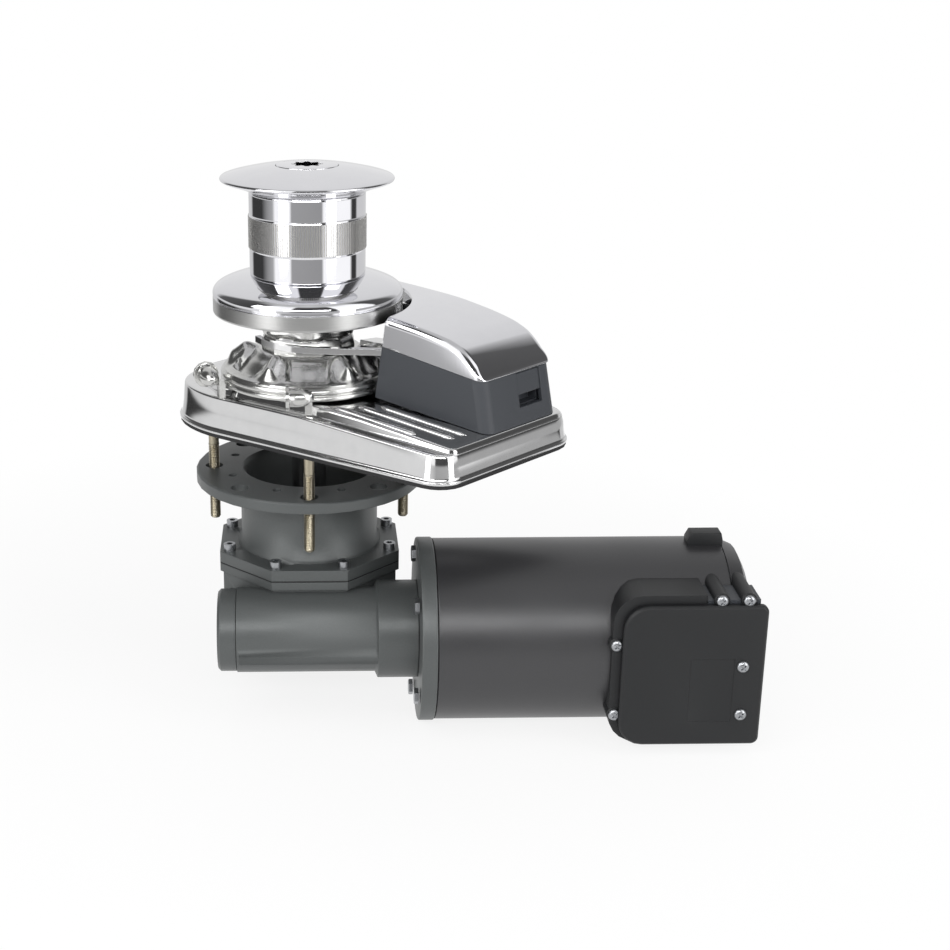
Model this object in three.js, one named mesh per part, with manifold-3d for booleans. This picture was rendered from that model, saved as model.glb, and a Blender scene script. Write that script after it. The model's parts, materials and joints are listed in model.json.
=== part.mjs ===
// Vertical anchor windlass: a rope drum and chain gypsy on a deck plate, and a worm gearmotor under the deck.
// Millimetres, +Z up. The origin is on the drum axis in the deck plane, where the gasket rests.
// +X runs along the deck plate towards the chain housing. The gearmotor is turned about the drum axis.

import * as THREE from "three";
import { mergeVertices } from "three/addons/utils/BufferGeometryUtils.js";
import Module from "manifold-3d";

const wasm = await Module();
wasm.setup();

// Clearances and counts that every piece shares.
const fit = 0.3;
const overrun = 6;
const wideSteps = 36;
const roundSteps = 24;
const smallSteps = 12;
const cornerSteps = 5;
const turn = 2 * Math.PI;
const degree = Math.PI / 180;

// The deck, the four studs that clamp it, and the drum axis.
const deckGap = 30;
const gasketThickness = 2.5;
const studRadius = 4;
const studCircle = 69;
const studReach = 70;
const studSeat = 14.5;
const studCount = 4;
const shaftRadius = 12.5;
const gearmotorTurn = 45 * degree;

// Deck plate: outline in plan, wall and top.
const plate = {
  nose: 97.5,
  tail: 165.2,
  nearHalf: 63,
  farHalf: 106,
  nearTaper: 7.2 * degree,
  noseSide: -48.5,
  noseCorner: 48,
  bow: -47,
  bowCorner: 84,
  nearCorner: 20,
  farCorner: 26,
  shoulder: 5,
  shoulderCorner: 80,
  cheek: 20,
  cheekCorner: 36,
  lip: 2.5,
  flare: 3,
  flareInset: 2.2,
  wallInset: 3,
  borderTop: 28.8,
  borderBend: 40,
  borderFallShare: 0.06,
  platformTop: 34.8,
  platformInset: 13.5,
  platformEdge: 5,
  platformCornerShare: 0.9,
  platformBend: 64.5,
  platformFallShare: 0.105,
  wall: 7,
  roof: 6,
  hubRadius: 34,
  bossRadius: 8.5,
};
const rib = { width: 6, height: 1.6, corner: 2.9 };
const ribPlaces = [
  { fromX: 62, toX: 126, startY: -36 },
  { fromX: 72, toX: 146, startY: -21.5 },
  { fromX: 80, toX: 147, startY: -9 },
];

// The way down for the chain, through the plate under the housing.
const pipe = { x: 104, y: 48, length: 50, width: 38, corner: 13, wall: 4 };

// Chain housing and its lid.
const housing = {
  nearStart: 40,
  nearOffset: 0.8,
  nearFrom: 64.5,
  nearTaper: 6.5 * degree,
  end: 158.5,
  far: 86,
  left: 10,
  footLevel: 25,
  endDraftShare: 0.2,
  sideDraftShare: 0.025,
  corner: 9,
  wall: 3,
  edgeLevel: 72.2,
  edgeFrom: 69,
  edgeFallShare: 0.142,
};
const mouth = { lowClear: 3, lowLevel: 35, highClear: 6.6, highLevel: 95 };
const lid = { wall: 2, fillet: 6, endLip: 1.6, endCorner: 6, left: 10.5, end: 151.6, crest: 95.8 };
const crestShares = [
  { along: 0, height: 1 },
  { along: 0.209, height: 0.9896 },
  { along: 0.422, height: 0.9729 },
  { along: 0.67, height: 0.9238 },
  { along: 0.776, height: 0.8904 },
  { along: 0.861, height: 0.8413 },
  { along: 0.9035, height: 0.7965 },
  { along: 0.9425, height: 0.7411 },
  { along: 0.9745, height: 0.6827 },
];
const latch = { y: 58, width: 24, top: 59.5, height: 14.5, thickness: 2.4, sink: 0.5, slot: 8.5, depth: 8 };

// Lever that presses the chain into the gypsy, its pin and spring, and the chain stripper.
const lever = {
  radius: 40,
  thickness: 4,
  height: 4.5,
  level: 67,
  fallShare: 0.07,
  tipAngle: -107 * degree,
  bendAngle: -42 * degree,
  mouthX: 61,
  mouthY: 8.5,
  pivotX: 84,
  pivotY: 18,
  eyeRadius: 7.5,
};
const leverPin = { radius: 4, headRadius: 6.5, headHeight: 2 };
const leverSpring = { wire: 2.6, bottom: 36 };
const stripper = {
  bottom: 62.5,
  thickness: 4,
  postX: 76,
  postY: 36,
  postRadius: 4.5,
  innerX: 33,
  innerY: 19,
  nearX: 73,
  nearY: 25,
  outerX: 82,
  farY: 45,
  tipX: 37,
  tipY: 31,
};

// Gypsy, its two clutch cones and the drum above it.
const gypsy = {
  bottom: 36,
  rimRadius: 62.5,
  rimTop: 44.5,
  rimGroove: 1.2,
  hubRadius: 33.5,
  hubSides: 12,
  hubBottom: 60,
  top: 85.4,
  bore: 16,
  pockets: 6,
  pocketSteps: 8,
  pocketDepth: 4.5,
  pocketRadius: 47,
  pocketHalf: 15,
  hornRise: 7.5,
  hornRadius: 52,
  hornHalf: 8,
  shoulderRadius: 36,
  shoulderTop: 60.5,
  footRadius: 59,
  footTop: 46.5,
  ringRadius: 33.5,
  ringLobe: 1.8,
  ringBottom: 72,
};
const faceShares = [0, 0.24, 0.48, 0.72, 1];
const pocketTurn = 315 * degree;
const cone = { wideRadius: 27, thinRadius: 19, height: 13, land: 3 };
const discUnit = { bottom: 86, radius: 67, edge: 2, wallTop: 100.5, crown: 113.4, crownRadius: 30 };
const domeShares = [
  { out: 0.985, up: 0.2 },
  { out: 0.95, up: 0.36 },
  { out: 0.87, up: 0.56 },
  { out: 0.75, up: 0.76 },
  { out: 0.61, up: 0.92 },
];
const drumUnit = {
  bottom: 113.7,
  bottomEdge: 1.2,
  radius: 40.6,
  bandRadius: 41.3,
  bandBottom: 131.4,
  bandTop: 154.3,
  bandEdge: 0.6,
  top: 170.9,
};
const cap = {
  rimRadius: 60.5,
  rimRise: 8.2,
  rimHalf: 1.2,
  rimEdge: 0.6,
  coveRadius: 46,
  coveRise: 2.3,
  throat: 16,
  seatRise: 3.7,
};
const capShares = [
  { out: 0.78, up: 0.46 },
  { out: 0.55, up: 0.75 },
];
const nut = {
  radius: 21.5,
  topRise: 17.6,
  bottomRise: 0.7,
  edge: 0.7,
  socketOuter: 11,
  socketInner: 8.2,
  socketDepth: 12,
  socketPoints: 8,
};
const shaft = { bottom: -163.5, drumProud: 0.6 };
const key = { width: 6, height: 6, length: 34 };
const drumKeyLevel = 122;
const seal = { radius: 20, height: 6 };
const bush = { radius: 17, bottom: 6, top: 26 };
const lug = {
  rimOffset: 10.1,
  level: 43,
  discRadius: 9.2,
  discThickness: 2.4,
  nutRadius: 6.6,
  nutLength: 17,
  collar: 6,
  footClear: 1.1,
  footDepth: 4.8,
  footWidth: 5,
  footTop: 42,
  offset: 13,
  leftTurn: 247 * degree,
  frontTurn: 315 * degree,
};

// Gearbox, in the turned frame: the worm lies along x at wormY, wormZ.
const flange = {
  radius: 82,
  thickness: 8,
  opening: 46,
  mouthRadius: 48.5,
  mouthDepth: 3,
  slotRadius: 6.5,
  slotCircle: 69,
  smallRadius: 3.2,
  smallCircle: 59,
  holes: 8,
  edge: 1,
};
const neck = { radius: 50, beadRadius: 52.5, beadHeight: 2.5, flareRadius: 58, flareHeight: 12 };
const cover = { top: -87, thickness: 8, acrossFlats: 130, floor: -76, boltCircle: 62.8 };
const bolt = { headRadius: 4.3, headHeight: 5, shank: 2.5, length: 16, hex: 2.3, hexDepth: 2.6, sides: 6 };
const gasketSheet = 0.8;
const bearing = { radius: 26, width: 12, groove: 1.2 };
const wormBearing = { radius: 19.6, width: 12 };
const wormY = -60;
const wormZ = -134;
const gear = { module: 3, teeth: 32, width: 24, rootDrop: 3.9, hubRadius: 22, hubTop: 8 };
const toothShares = { tip: 0.8, tipHalf: 0.12, rootHalf: 0.3 };
const worm = {
  pitchRadius: 12,
  turns: 6,
  coreRadius: 8,
  threadHalf: 1.7,
  flankRun: 1.2,
  crestShare: 0.9,
  around: 14,
  perLead: 6,
};
const box = {
  flangeTop: -96,
  flangeThickness: 6,
  acrossFlats: 125.6,
  bottom: -166.5,
  chamberRadius: 55,
  chamberBottom: -150,
  tubeRadius: 30.5,
  tubeStart: -52,
  collarStart: 48,
  collarRadius: 35,
  tubeEnd: 76,
  ledgeTop: -141,
  ledgeBottom: -147,
  ledgeProud: 1,
};
const wormBore = 20;
const endCap = { start: -65.5, radius: 29.6, edge: 2, wall: 5 };

// Motor, along the worm axis.
const motor = {
  flangeStart: 76.3,
  flangeEnd: 87.3,
  flangeRadius: 65.5,
  yokeRadius: 64.6,
  yokeWall: 5,
  yokeEnd: 290,
  bellEnd: 305,
  bellRim: 56,
  bellWall: 4,
  shaftRadius: 8,
  coreRadius: 41,
  coreStart: 112,
  coreEnd: 236,
  magnetThickness: 9,
  magnetSweep: 130 * degree,
  commutatorRadius: 24,
  commutatorStart: 240,
  commutatorEnd: 262,
  ringStart: 264,
  ringEnd: 269,
  shoulderShare: 0.8,
};
const brush = { width: 10, height: 18, length: 14 };

// Terminal box on the side of the motor, measured back from the motor's end.
const terminal = {
  endProud: 4,
  length: 104,
  top: -81,
  bottom: -190.5,
  corner: 20,
  front: -127.6,
  back: -84,
  wall: 5,
  coverInset: 6.5,
  coverTop: -87,
  coverBottom: -191,
  coverFront: -133,
  coverCorner: 17,
  coverEdge: 1.6,
};
const leadBlock = {
  endInset: 5,
  length: 36,
  bottom: -99,
  top: -84.4,
  front: -127,
  back: -92,
  bossRadius: 5.3,
  bossInset: 9.2,
  bossPitch: 18.4,
};
const postBlock = {
  leftClear: 13.5,
  rightClear: 34,
  height: 12,
  depth: 6,
  z: -174,
  postRadius: 3,
  postHeight: 8,
  postInset: 9,
};

// A solid from a closed geometry, turned right side out.
function solid(geometry) {
  const bare = geometry.clone();
  bare.deleteAttribute("normal");
  bare.deleteAttribute("uv");
  const merged = mergeVertices(bare);
  const vertProperties = merged.getAttribute("position").array;
  const triVerts = new Uint32Array(merged.index.array);
  const made = new wasm.Manifold(new wasm.Mesh({ numProp: 3, vertProperties, triVerts }));
  if (made.volume() >= 0) return made;
  for (let i = 0; i < triVerts.length; i += 3) {
    [triVerts[i + 1], triVerts[i + 2]] = [triVerts[i + 2], triVerts[i + 1]];
  }
  return new wasm.Manifold(new wasm.Mesh({ numProp: 3, vertProperties, triVerts }));
}

function join(first, ...others) {
  return others.reduce((whole, piece) => whole.add(piece), first);
}

function cut(first, ...tools) {
  return tools.reduce((whole, tool) => whole.subtract(tool), first);
}

// A prism over an outline in X and Y, between two heights.
function prism(outline, low, high) {
  const shape = new THREE.Shape(outline.map(([x, y]) => new THREE.Vector2(x, y)));
  const geometry = new THREE.ExtrudeGeometry(shape, { depth: high - low, bevelEnabled: false });
  return solid(geometry.translate(0, 0, low));
}

// A prism over an outline in X and Z, between two places along Y.
function crossPrism(outline, nearY, farY) {
  const shape = new THREE.Shape(outline.map(([x, z]) => new THREE.Vector2(x, z)));
  const geometry = new THREE.ExtrudeGeometry(shape, { depth: farY - nearY, bevelEnabled: false });
  return solid(geometry.rotateX(Math.PI / 2).translate(0, farY, 0));
}

function rectangle(left, low, right, high) {
  return [
    [left, low],
    [right, low],
    [right, high],
    [left, high],
  ];
}

function polygon(radius, sides, start = 0, x = 0, y = 0) {
  return Array.from({ length: sides }, (_, i) => {
    const angle = start + (i * turn) / sides;
    return [x + radius * Math.cos(angle), y + radius * Math.sin(angle)];
  });
}

function block(low, high) {
  return prism(rectangle(low[0], low[1], high[0], high[1]), low[2], high[2]);
}

// A turned piece about the Z axis, from [radius, height] pairs that start and end on the axis or close.
function turned(profile, steps, x = 0, y = 0) {
  const points = profile.map(([radius, height]) => new THREE.Vector2(radius, height));
  const geometry = new THREE.LatheGeometry(points, steps);
  return solid(geometry.rotateX(Math.PI / 2).translate(x, y, 0));
}

// The same about an axis along X, from [radius, x] pairs.
function turnedAlongX(profile, steps, y = wormY, z = wormZ) {
  const points = profile.map(([radius, place]) => new THREE.Vector2(radius, place));
  const geometry = new THREE.LatheGeometry(points, steps);
  return solid(geometry.rotateZ(-Math.PI / 2).translate(0, y, z));
}

function rod(radius, low, high, steps, x = 0, y = 0) {
  return turned([[0, low], [radius, low], [radius, high], [0, high]], steps, x, y);
}

function tube(inner, outer, low, high, steps) {
  return turned([[inner, low], [outer, low], [outer, high], [inner, high], [inner, low]], steps);
}

function rodAlongX(radius, from, to, steps, y = wormY, z = wormZ) {
  return turnedAlongX([[0, from], [radius, from], [radius, to], [0, to]], steps, y, z);
}

function tubeAlongX(inner, outer, from, to, steps) {
  return turnedAlongX([[inner, from], [outer, from], [outer, to], [inner, to], [inner, from]], steps);
}

// A polygon with rounded corners, [x, y, radius] each, drawn inwards by the inset.
function roundedOutline(corners, inset = 0) {
  const points = [];
  corners.forEach(([x, y, radius], i) => {
    const [beforeX, beforeY] = corners[(i + corners.length - 1) % corners.length];
    const [afterX, afterY] = corners[(i + 1) % corners.length];
    const first = Math.atan2(y - beforeY, x - beforeX) - Math.PI / 2;
    let last = Math.atan2(afterY - y, afterX - x) - Math.PI / 2;
    while (last < first) last += turn;
    const half = (last - first) / 2;
    const rounding = Math.max(radius - inset, fit);
    const reach = (inset + rounding) / Math.cos(half);
    const centreX = x - reach * Math.cos(first + half);
    const centreY = y - reach * Math.sin(first + half);
    for (let step = 0; step <= cornerSteps; step++) {
      const angle = first + (2 * half * step) / cornerSteps;
      points.push([centreX + rounding * Math.cos(angle), centreY + rounding * Math.sin(angle)]);
    }
  });
  return points;
}

// A closed skin over rings of [x, y, z] points, capped flat in the plane that the two picks give.
function loft(rings, pick = ([x, y]) => [x, y]) {
  const count = rings[0].length;
  const flatArea = (points) =>
    points.reduce((sum, [x, y], i) => {
      const [nextX, nextY] = points[(i + 1) % points.length];
      return sum + x * nextY - nextX * y;
    }, 0);
  const ringSense = Math.sign(flatArea(rings[0].map(pick)));
  const index = [];
  for (let ring = 0; ring + 1 < rings.length; ring++) {
    for (let i = 0; i < count; i++) {
      const here = ring * count + i;
      const beside = ring * count + ((i + 1) % count);
      index.push(here, beside, beside + count, here, beside + count, here + count);
    }
  }
  const addCap = (ring, sense) => {
    const flat = rings[ring].map(pick);
    const shape = flat.map(([x, y]) => new THREE.Vector2(x, y));
    for (const face of THREE.ShapeUtils.triangulateShape(shape, [])) {
      const [a, b, c] = face.map((i) => ring * count + i);
      const faceSense = Math.sign(flatArea(face.map((i) => flat[i])));
      if (faceSense === sense) index.push(a, b, c);
      else index.push(a, c, b);
    }
  };
  addCap(0, -ringSense);
  addCap(rings.length - 1, ringSense);
  const geometry = new THREE.BufferGeometry();
  geometry.setAttribute("position", new THREE.Float32BufferAttribute(rings.flat(2), 3));
  geometry.setIndex(index);
  return solid(geometry);
}

function ringAt(outline, height) {
  return outline.map(([x, y]) => [x, y, typeof height === "function" ? height(x, y) : height]);
}

// Deck plate outline and heights.
const nearLine = (x) => x * Math.tan(plate.nearTaper) - plate.nearHalf;
const plateCorners = [
  [-plate.nose, plate.noseSide, plate.noseCorner],
  [plate.bow, nearLine(plate.bow), plate.bowCorner],
  [plate.tail, nearLine(plate.tail), plate.nearCorner],
  [plate.tail, plate.farHalf, plate.farCorner],
  [-plate.shoulder, plate.farHalf, plate.shoulderCorner],
  [-plate.nose, plate.cheek, plate.cheekCorner],
];
// The raised platform keeps a border round the drum and comes close to the edge at the tail.
const platformCorners = plateCorners.map(([x, y, radius]) => {
  const inset = plate.platformInset;
  const rounding = (radius - inset) * plate.platformCornerShare;
  return [x > 0 ? x - plate.platformEdge : x + inset, y - Math.sign(y) * inset, rounding];
});
const noseEnd = -plate.nose - overrun;
const plateFar = plate.tail + overrun;
const lipTop = gasketThickness + plate.lip;
const platformAt = (x) => plate.platformTop - Math.max(0, x - plate.platformBend) * plate.platformFallShare;
const borderAt = (x) => plate.borderTop - Math.max(0, x - plate.borderBend) * plate.borderFallShare;
const plateNearY = nearLine(-plate.nose) - overrun;
const plateFarY = plate.farHalf + overrun;
const studPlaces = polygon(studCircle, studCount, 45 * degree);
const pipeCorners = (grow) => {
  const outline = rectangle(
    pipe.x - pipe.length / 2 - grow,
    pipe.y - pipe.width / 2 - grow,
    pipe.x + pipe.length / 2 + grow,
    pipe.y + pipe.width / 2 + grow,
  );
  return roundedOutline(outline.map(([x, y]) => [x, y, pipe.corner + grow]));
};

function topProfile(from, bend, level, fallShare, low) {
  return [
    [from, low],
    [plateFar, low],
    [plateFar, level - (plateFar - bend) * fallShare],
    [bend, level],
    [from, level],
  ];
}

// The raised platform, or with a clearance the room that stays free over it.
function platformSolid(clearance) {
  const low = lipTop + plate.flare;
  const ridge = crossPrism(
    topProfile(noseEnd, plate.platformBend, plate.platformTop + clearance, plate.platformFallShare, low),
    plateNearY,
    plateFarY,
  );
  const sides = loft([
    ringAt(roundedOutline(platformCorners, -clearance), low),
    ringAt(roundedOutline(platformCorners, plate.flareInset - clearance), plate.platformTop + overrun),
  ]);
  return ridge.intersect(sides);
}

function basePlate() {
  const outline = (inset) => roundedOutline(plateCorners, inset);
  const tall = plate.platformTop + overrun;
  const skirt = loft([
    ringAt(outline(0), gasketThickness),
    ringAt(outline(0), lipTop),
    ringAt(outline(plate.flareInset), lipTop + plate.flare),
    ringAt(outline(plate.wallInset), tall),
  ]);
  const border = crossPrism(
    topProfile(noseEnd, plate.borderBend, plate.borderTop, plate.borderFallShare, 0),
    plateNearY,
    plateFarY,
  );
  const hollow = loft([
    ringAt(outline(plate.wall), -overrun),
    ringAt(outline(plate.wall + plate.wallInset), plate.platformTop),
  ]).intersect(
    crossPrism(
      topProfile(noseEnd, plate.borderBend, plate.borderTop - plate.roof, plate.borderFallShare, -overrun),
      plateNearY,
      plateFarY,
    ),
  );
  const supports = [
    rod(plate.hubRadius, -2 * overrun, tall, roundSteps),
    prism(pipeCorners(pipe.wall), -2 * overrun, tall),
    ...studPlaces.map(([x, y]) => rod(plate.bossRadius, -2 * overrun, tall, smallSteps, x, y)),
  ];
  return cut(
    join(skirt.intersect(border), platformSolid(0), ...ribs()),
    cut(hollow, ...supports),
    prism(pipeCorners(0), -overrun, tall),
    rod(bush.radius + fit, -overrun, tall, roundSteps),
    rod(seal.radius + fit, plate.platformTop - seal.height - fit, tall, roundSteps),
    ...studPlaces.map(([x, y]) => rod(studRadius + fit, -overrun, studSeat + fit, smallSteps, x, y)),
  );
}

// Long low ribs on the plate, which keep the anchor chain off its polish.
function ribs() {
  return ribPlaces.map(({ fromX, toX, startY }) => {
    const lean = Math.tan(plate.nearTaper);
    const sideAt = (x) => startY + (x - fromX) * lean;
    const half = rib.width / 2;
    const corners = [
      [fromX, sideAt(fromX) - half, rib.corner],
      [toX, sideAt(toX) - half, rib.corner],
      [toX, sideAt(toX) + half, rib.corner],
      [fromX, sideAt(fromX) + half, rib.corner],
    ];
    const crest = (x) => platformAt(x) + rib.height;
    return loft([
      ringAt(roundedOutline(corners), (x) => borderAt(x) - plate.roof / 2),
      ringAt(roundedOutline(corners), (x) => platformAt(x) + rib.height / 4),
      ringAt(roundedOutline(corners, rib.width / 4), crest),
    ]);
  });
}

function deckGasket() {
  return cut(
    loft([
      ringAt(roundedOutline(plateCorners, fit * 2), 0),
      ringAt(roundedOutline(plateCorners, fit * 2), gasketThickness),
    ]),
    prism(pipeCorners(0), -overrun, overrun),
    rod(plate.hubRadius - pipe.wall, -overrun, overrun, roundSteps),
    ...studPlaces.map(([x, y]) => rod(studRadius + fit, -overrun, overrun, smallSteps, x, y)),
  );
}

function baseStud([x, y]) {
  const point = studRadius / 4;
  return turned(
    [
      [0, -studReach],
      [studRadius - point, -studReach],
      [studRadius, -studReach + point],
      [studRadius, studSeat],
      [0, studSeat],
    ],
    smallSteps,
    x,
    y,
  );
}

// A dome nut and washer lying along the gypsy's rim, on a foot that stands on the plate's border.
function rimLug(angle) {
  const length = lug.nutLength - lug.collar;
  const dome = Array.from({ length: cornerSteps }, (_, i) => {
    const lean = (Math.PI / 2) * (i / cornerSteps);
    return [lug.nutRadius * Math.cos(lean), lug.collar + length * Math.sin(lean)];
  });
  const piece = new THREE.LatheGeometry(
    [
      [0, -lug.discThickness],
      [lug.discRadius, -lug.discThickness],
      [lug.discRadius, 0],
      [lug.nutRadius, 0],
      ...dome,
      [0, lug.nutLength],
    ].map(([radius, place]) => new THREE.Vector2(radius, place)),
    smallSteps,
  );
  piece.translate(gypsy.rimRadius + lug.rimOffset, -lug.offset, lug.level);
  const footHeight = lug.footTop - plate.borderTop;
  const foot = new THREE.BoxGeometry(lug.footDepth, lug.footWidth, footHeight);
  const footAt = gypsy.rimRadius + lug.footClear + lug.footDepth / 2;
  foot.translate(footAt, 0, plate.borderTop + footHeight / 2);
  const lugSolid = join(solid(piece.rotateZ(angle)), solid(foot.rotateZ(angle)));
  return cut(lugSolid, platformSolid(fit));
}

// Chain housing: walls that lean in, cut out round the gypsy.
const nearWall = (x) => (x - housing.nearFrom) * Math.tan(housing.nearTaper) - housing.nearOffset;
const endAt = (z) => housing.end - (z - housing.footLevel) * housing.endDraftShare;
const sideAt = (z) => (z - housing.footLevel) * housing.sideDraftShare;
const edgeAt = (x) => housing.edgeLevel - (x - housing.edgeFrom) * housing.edgeFallShare;

function housingRing(z, inset) {
  const lean = sideAt(z);
  const corners = [
    [housing.nearStart, nearWall(housing.nearStart) + lean, housing.corner],
    [endAt(z), nearWall(endAt(z)) + lean, housing.corner],
    [endAt(z), housing.far - lean, housing.corner],
    [housing.left + lean, housing.far - lean, housing.corner],
  ];
  return ringAt(roundedOutline(corners, inset), z);
}

function mouthCone(grow) {
  const lowRadius = gypsy.rimRadius + mouth.lowClear;
  const highRadius = discUnit.radius + mouth.highClear;
  const slope = (highRadius - lowRadius) / (mouth.highLevel - mouth.lowLevel);
  const low = mouth.lowLevel - overrun * 3;
  const high = mouth.highLevel + overrun * 2;
  const radiusAt = (z) => lowRadius + grow + (z - mouth.lowLevel) * slope;
  return turned([[0, low], [radiusAt(low), low], [radiusAt(high), high], [0, high]], wideSteps);
}

// The room that the latch slides in, from the end wall inwards, with walls round it or without.
function latchRoom(grow) {
  const half = latch.width / 2 + fit + grow;
  const inner = endAt(latch.top) - latch.depth - grow;
  return block(
    [inner, latch.y - half, latch.top - latch.height - latch.slot - grow],
    [
      grow ? endAt(latch.top) - housing.wall / 2 : housing.end + overrun,
      latch.y + half,
      latch.top + fit + grow,
    ],
  );
}

function chainHousing() {
  const low = housing.footLevel - overrun;
  const high = housing.edgeLevel + 2 * overrun;
  const walls = cut(
    loft([housingRing(low, 0), housingRing(high, 0)]),
    loft([housingRing(low - overrun, housing.wall), housingRing(high + overrun, housing.wall)]),
  );
  const farX = housing.end + overrun;
  const band = crossPrism(
    [
      [0, platformAt(0) + fit],
      [plate.platformBend, platformAt(plate.platformBend) + fit],
      [farX, platformAt(farX) + fit],
      [farX, edgeAt(farX) - fit],
      [0, edgeAt(0) - fit],
    ],
    plateNearY,
    plateFarY,
  );
  const body = join(walls, latchRoom(housing.wall)).intersect(band);
  return cut(body, mouthCone(0), latchRoom(0));
}

function housingLatch() {
  const low = latch.top - latch.height;
  const high = latch.top - fit;
  const plateRing = (z) => {
    const outer = endAt(z) - latch.sink;
    const half = latch.width / 2;
    const corners = rectangle(outer - latch.thickness, latch.y - half, outer, latch.y + half);
    return ringAt(corners, z);
  };
  return loft([plateRing(low), plateRing(high)]);
}

// One cross-section of the lid, with filleted top edges, drawn inwards by the wall.
function lidSection(x, crest, inset, drop) {
  const lean = sideAt(edgeAt(x));
  const cornerStart = lid.end - lid.endCorner;
  const past = Math.max(0, x - cornerStart);
  const tuck = lid.endCorner - Math.sqrt(Math.max(0, lid.endCorner ** 2 - past ** 2));
  const near = nearWall(x) + lean + tuck + inset;
  const far = housing.far - lean - tuck - inset;
  const bottom = edgeAt(x) - drop;
  const top = crest - inset;
  const fillet = Math.min(lid.fillet, (top - bottom) / 2);
  const points = [
    [near, bottom],
    [far, bottom],
  ];
  for (let step = 0; step <= 2; step++) {
    const angle = (Math.PI / 4) * step;
    points.push([far - fillet + fillet * Math.cos(angle), top - fillet + fillet * Math.sin(angle)]);
  }
  for (let step = 0; step <= 2; step++) {
    const angle = Math.PI / 2 + (Math.PI / 4) * step;
    points.push([near + fillet + fillet * Math.cos(angle), top - fillet + fillet * Math.sin(angle)]);
  }
  return points.map(([y, z]) => [x, y, z]);
}

function lidSolid(inset, drop) {
  const stations = crestShares.map(({ along, height }) => ({
    x: lid.left + along * (lid.end - lid.left),
    z: lid.crest * height,
  }));
  const endX = lid.end - inset;
  stations.push({ x: endX, z: edgeAt(endX) + lid.endLip + 2 * inset });
  stations[0].x = lid.left - inset * overrun;
  return loft(
    stations.map(({ x, z }) => lidSection(x, z, inset, drop)),
    ([, y, z]) => [y, z],
  );
}

function housingLid() {
  return cut(lidSolid(0, 0), lidSolid(lid.wall, overrun), mouthCone(0));
}

// Pressure lever: an arc round the gypsy's hub, then a straight arm to its pin in the housing.
const leverAt = (x) => lever.level - x * lever.fallShare;

function pressureLever() {
  const half = lever.thickness / 2;
  const along = [];
  for (let step = 0; step <= cornerSteps + 1; step++) {
    const angle = lever.tipAngle + ((lever.bendAngle - lever.tipAngle) * step) / (cornerSteps + 1);
    along.push([lever.radius * Math.cos(angle), lever.radius * Math.sin(angle)]);
  }
  along.push([lever.mouthX, lever.mouthY], [lever.pivotX, lever.pivotY]);
  const side = (sense) =>
    along.map(([x, y], i) => {
      const [fromX, fromY] = along[Math.max(i - 1, 0)];
      const [toX, toY] = along[Math.min(i + 1, along.length - 1)];
      const length = Math.hypot(toX - fromX, toY - fromY);
      return [x + (sense * half * (toY - fromY)) / length, y - (sense * half * (toX - fromX)) / length];
    });
  const outline = [...side(1), ...side(-1).reverse()];
  const bar = loft([ringAt(outline, leverAt), ringAt(outline, (x) => leverAt(x) + lever.height)]);
  const low = leverAt(lever.pivotX);
  const eye = rod(lever.eyeRadius, low, low + lever.height, smallSteps, lever.pivotX, lever.pivotY);
  const bore = rod(
    leverPin.radius + fit,
    low - overrun,
    low + lever.height + overrun,
    smallSteps,
    lever.pivotX,
    lever.pivotY,
  );
  return cut(join(bar, eye), bore);
}

function leverPinSolid() {
  const foot = platformAt(lever.pivotX - leverPin.radius) + fit;
  const under = leverAt(lever.pivotX - leverPin.headRadius) + lever.height + fit;
  return turned(
    [
      [0, foot],
      [leverPin.radius, foot],
      [leverPin.radius, under],
      [leverPin.headRadius, under],
      [leverPin.headRadius, under + leverPin.headHeight],
      [0, under + leverPin.headHeight],
    ],
    smallSteps,
    lever.pivotX,
    lever.pivotY,
  );
}

function leverSpringSolid() {
  const inner = leverPin.radius + fit;
  const outer = inner + leverSpring.wire;
  const low = leverSpring.bottom;
  const high = leverAt(lever.pivotX) - fit;
  return turned(
    [[inner, low], [outer, low], [outer, high], [inner, high], [inner, low]],
    smallSteps,
    lever.pivotX,
    lever.pivotY,
  );
}

function chainStripper() {
  const finger = prism(
    [
      [stripper.innerX, stripper.innerY],
      [stripper.nearX, stripper.nearY],
      [stripper.outerX, stripper.postY],
      [stripper.outerX, stripper.farY],
      [stripper.nearX, stripper.farY],
      [stripper.tipX, stripper.tipY],
    ],
    stripper.bottom,
    stripper.bottom + stripper.thickness,
  );
  const post = rod(
    stripper.postRadius,
    platformAt(stripper.postX - stripper.postRadius) + fit,
    stripper.bottom + fit,
    smallSteps,
    stripper.postX,
    stripper.postY,
  );
  return join(finger, post);
}

// Height of the gypsy's upper face: a cone with a chain pocket and two horns for each step round.
function gypsyTop(radius, angle) {
  const span = gypsy.footRadius - gypsy.shoulderRadius;
  const share = THREE.MathUtils.clamp((radius - gypsy.shoulderRadius) / span, 0, 1);
  const level = THREE.MathUtils.lerp(gypsy.shoulderTop, gypsy.footTop, share);
  const step = turn / gypsy.pockets;
  const inStep = THREE.MathUtils.euclideanModulo(angle - pocketTurn + step / 2, step) - step / 2;
  const toHorn = step / 2 - Math.abs(inStep);
  const across = (inStep * radius) / gypsy.pocketHalf;
  const pocketRun = (radius - gypsy.pocketRadius) / gypsy.pocketHalf;
  const pocket = Math.exp(-(across ** 4 / 2) - pocketRun ** 4);
  const hornAcross = (toHorn * radius) / gypsy.hornHalf;
  const hornRun = (radius - gypsy.hornRadius) / gypsy.hornHalf;
  const horn = Math.exp(-(hornAcross ** 2) * 2 - hornRun ** 2 * 2);
  return level - gypsy.pocketDepth * pocket + gypsy.hornRise * horn;
}

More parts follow.
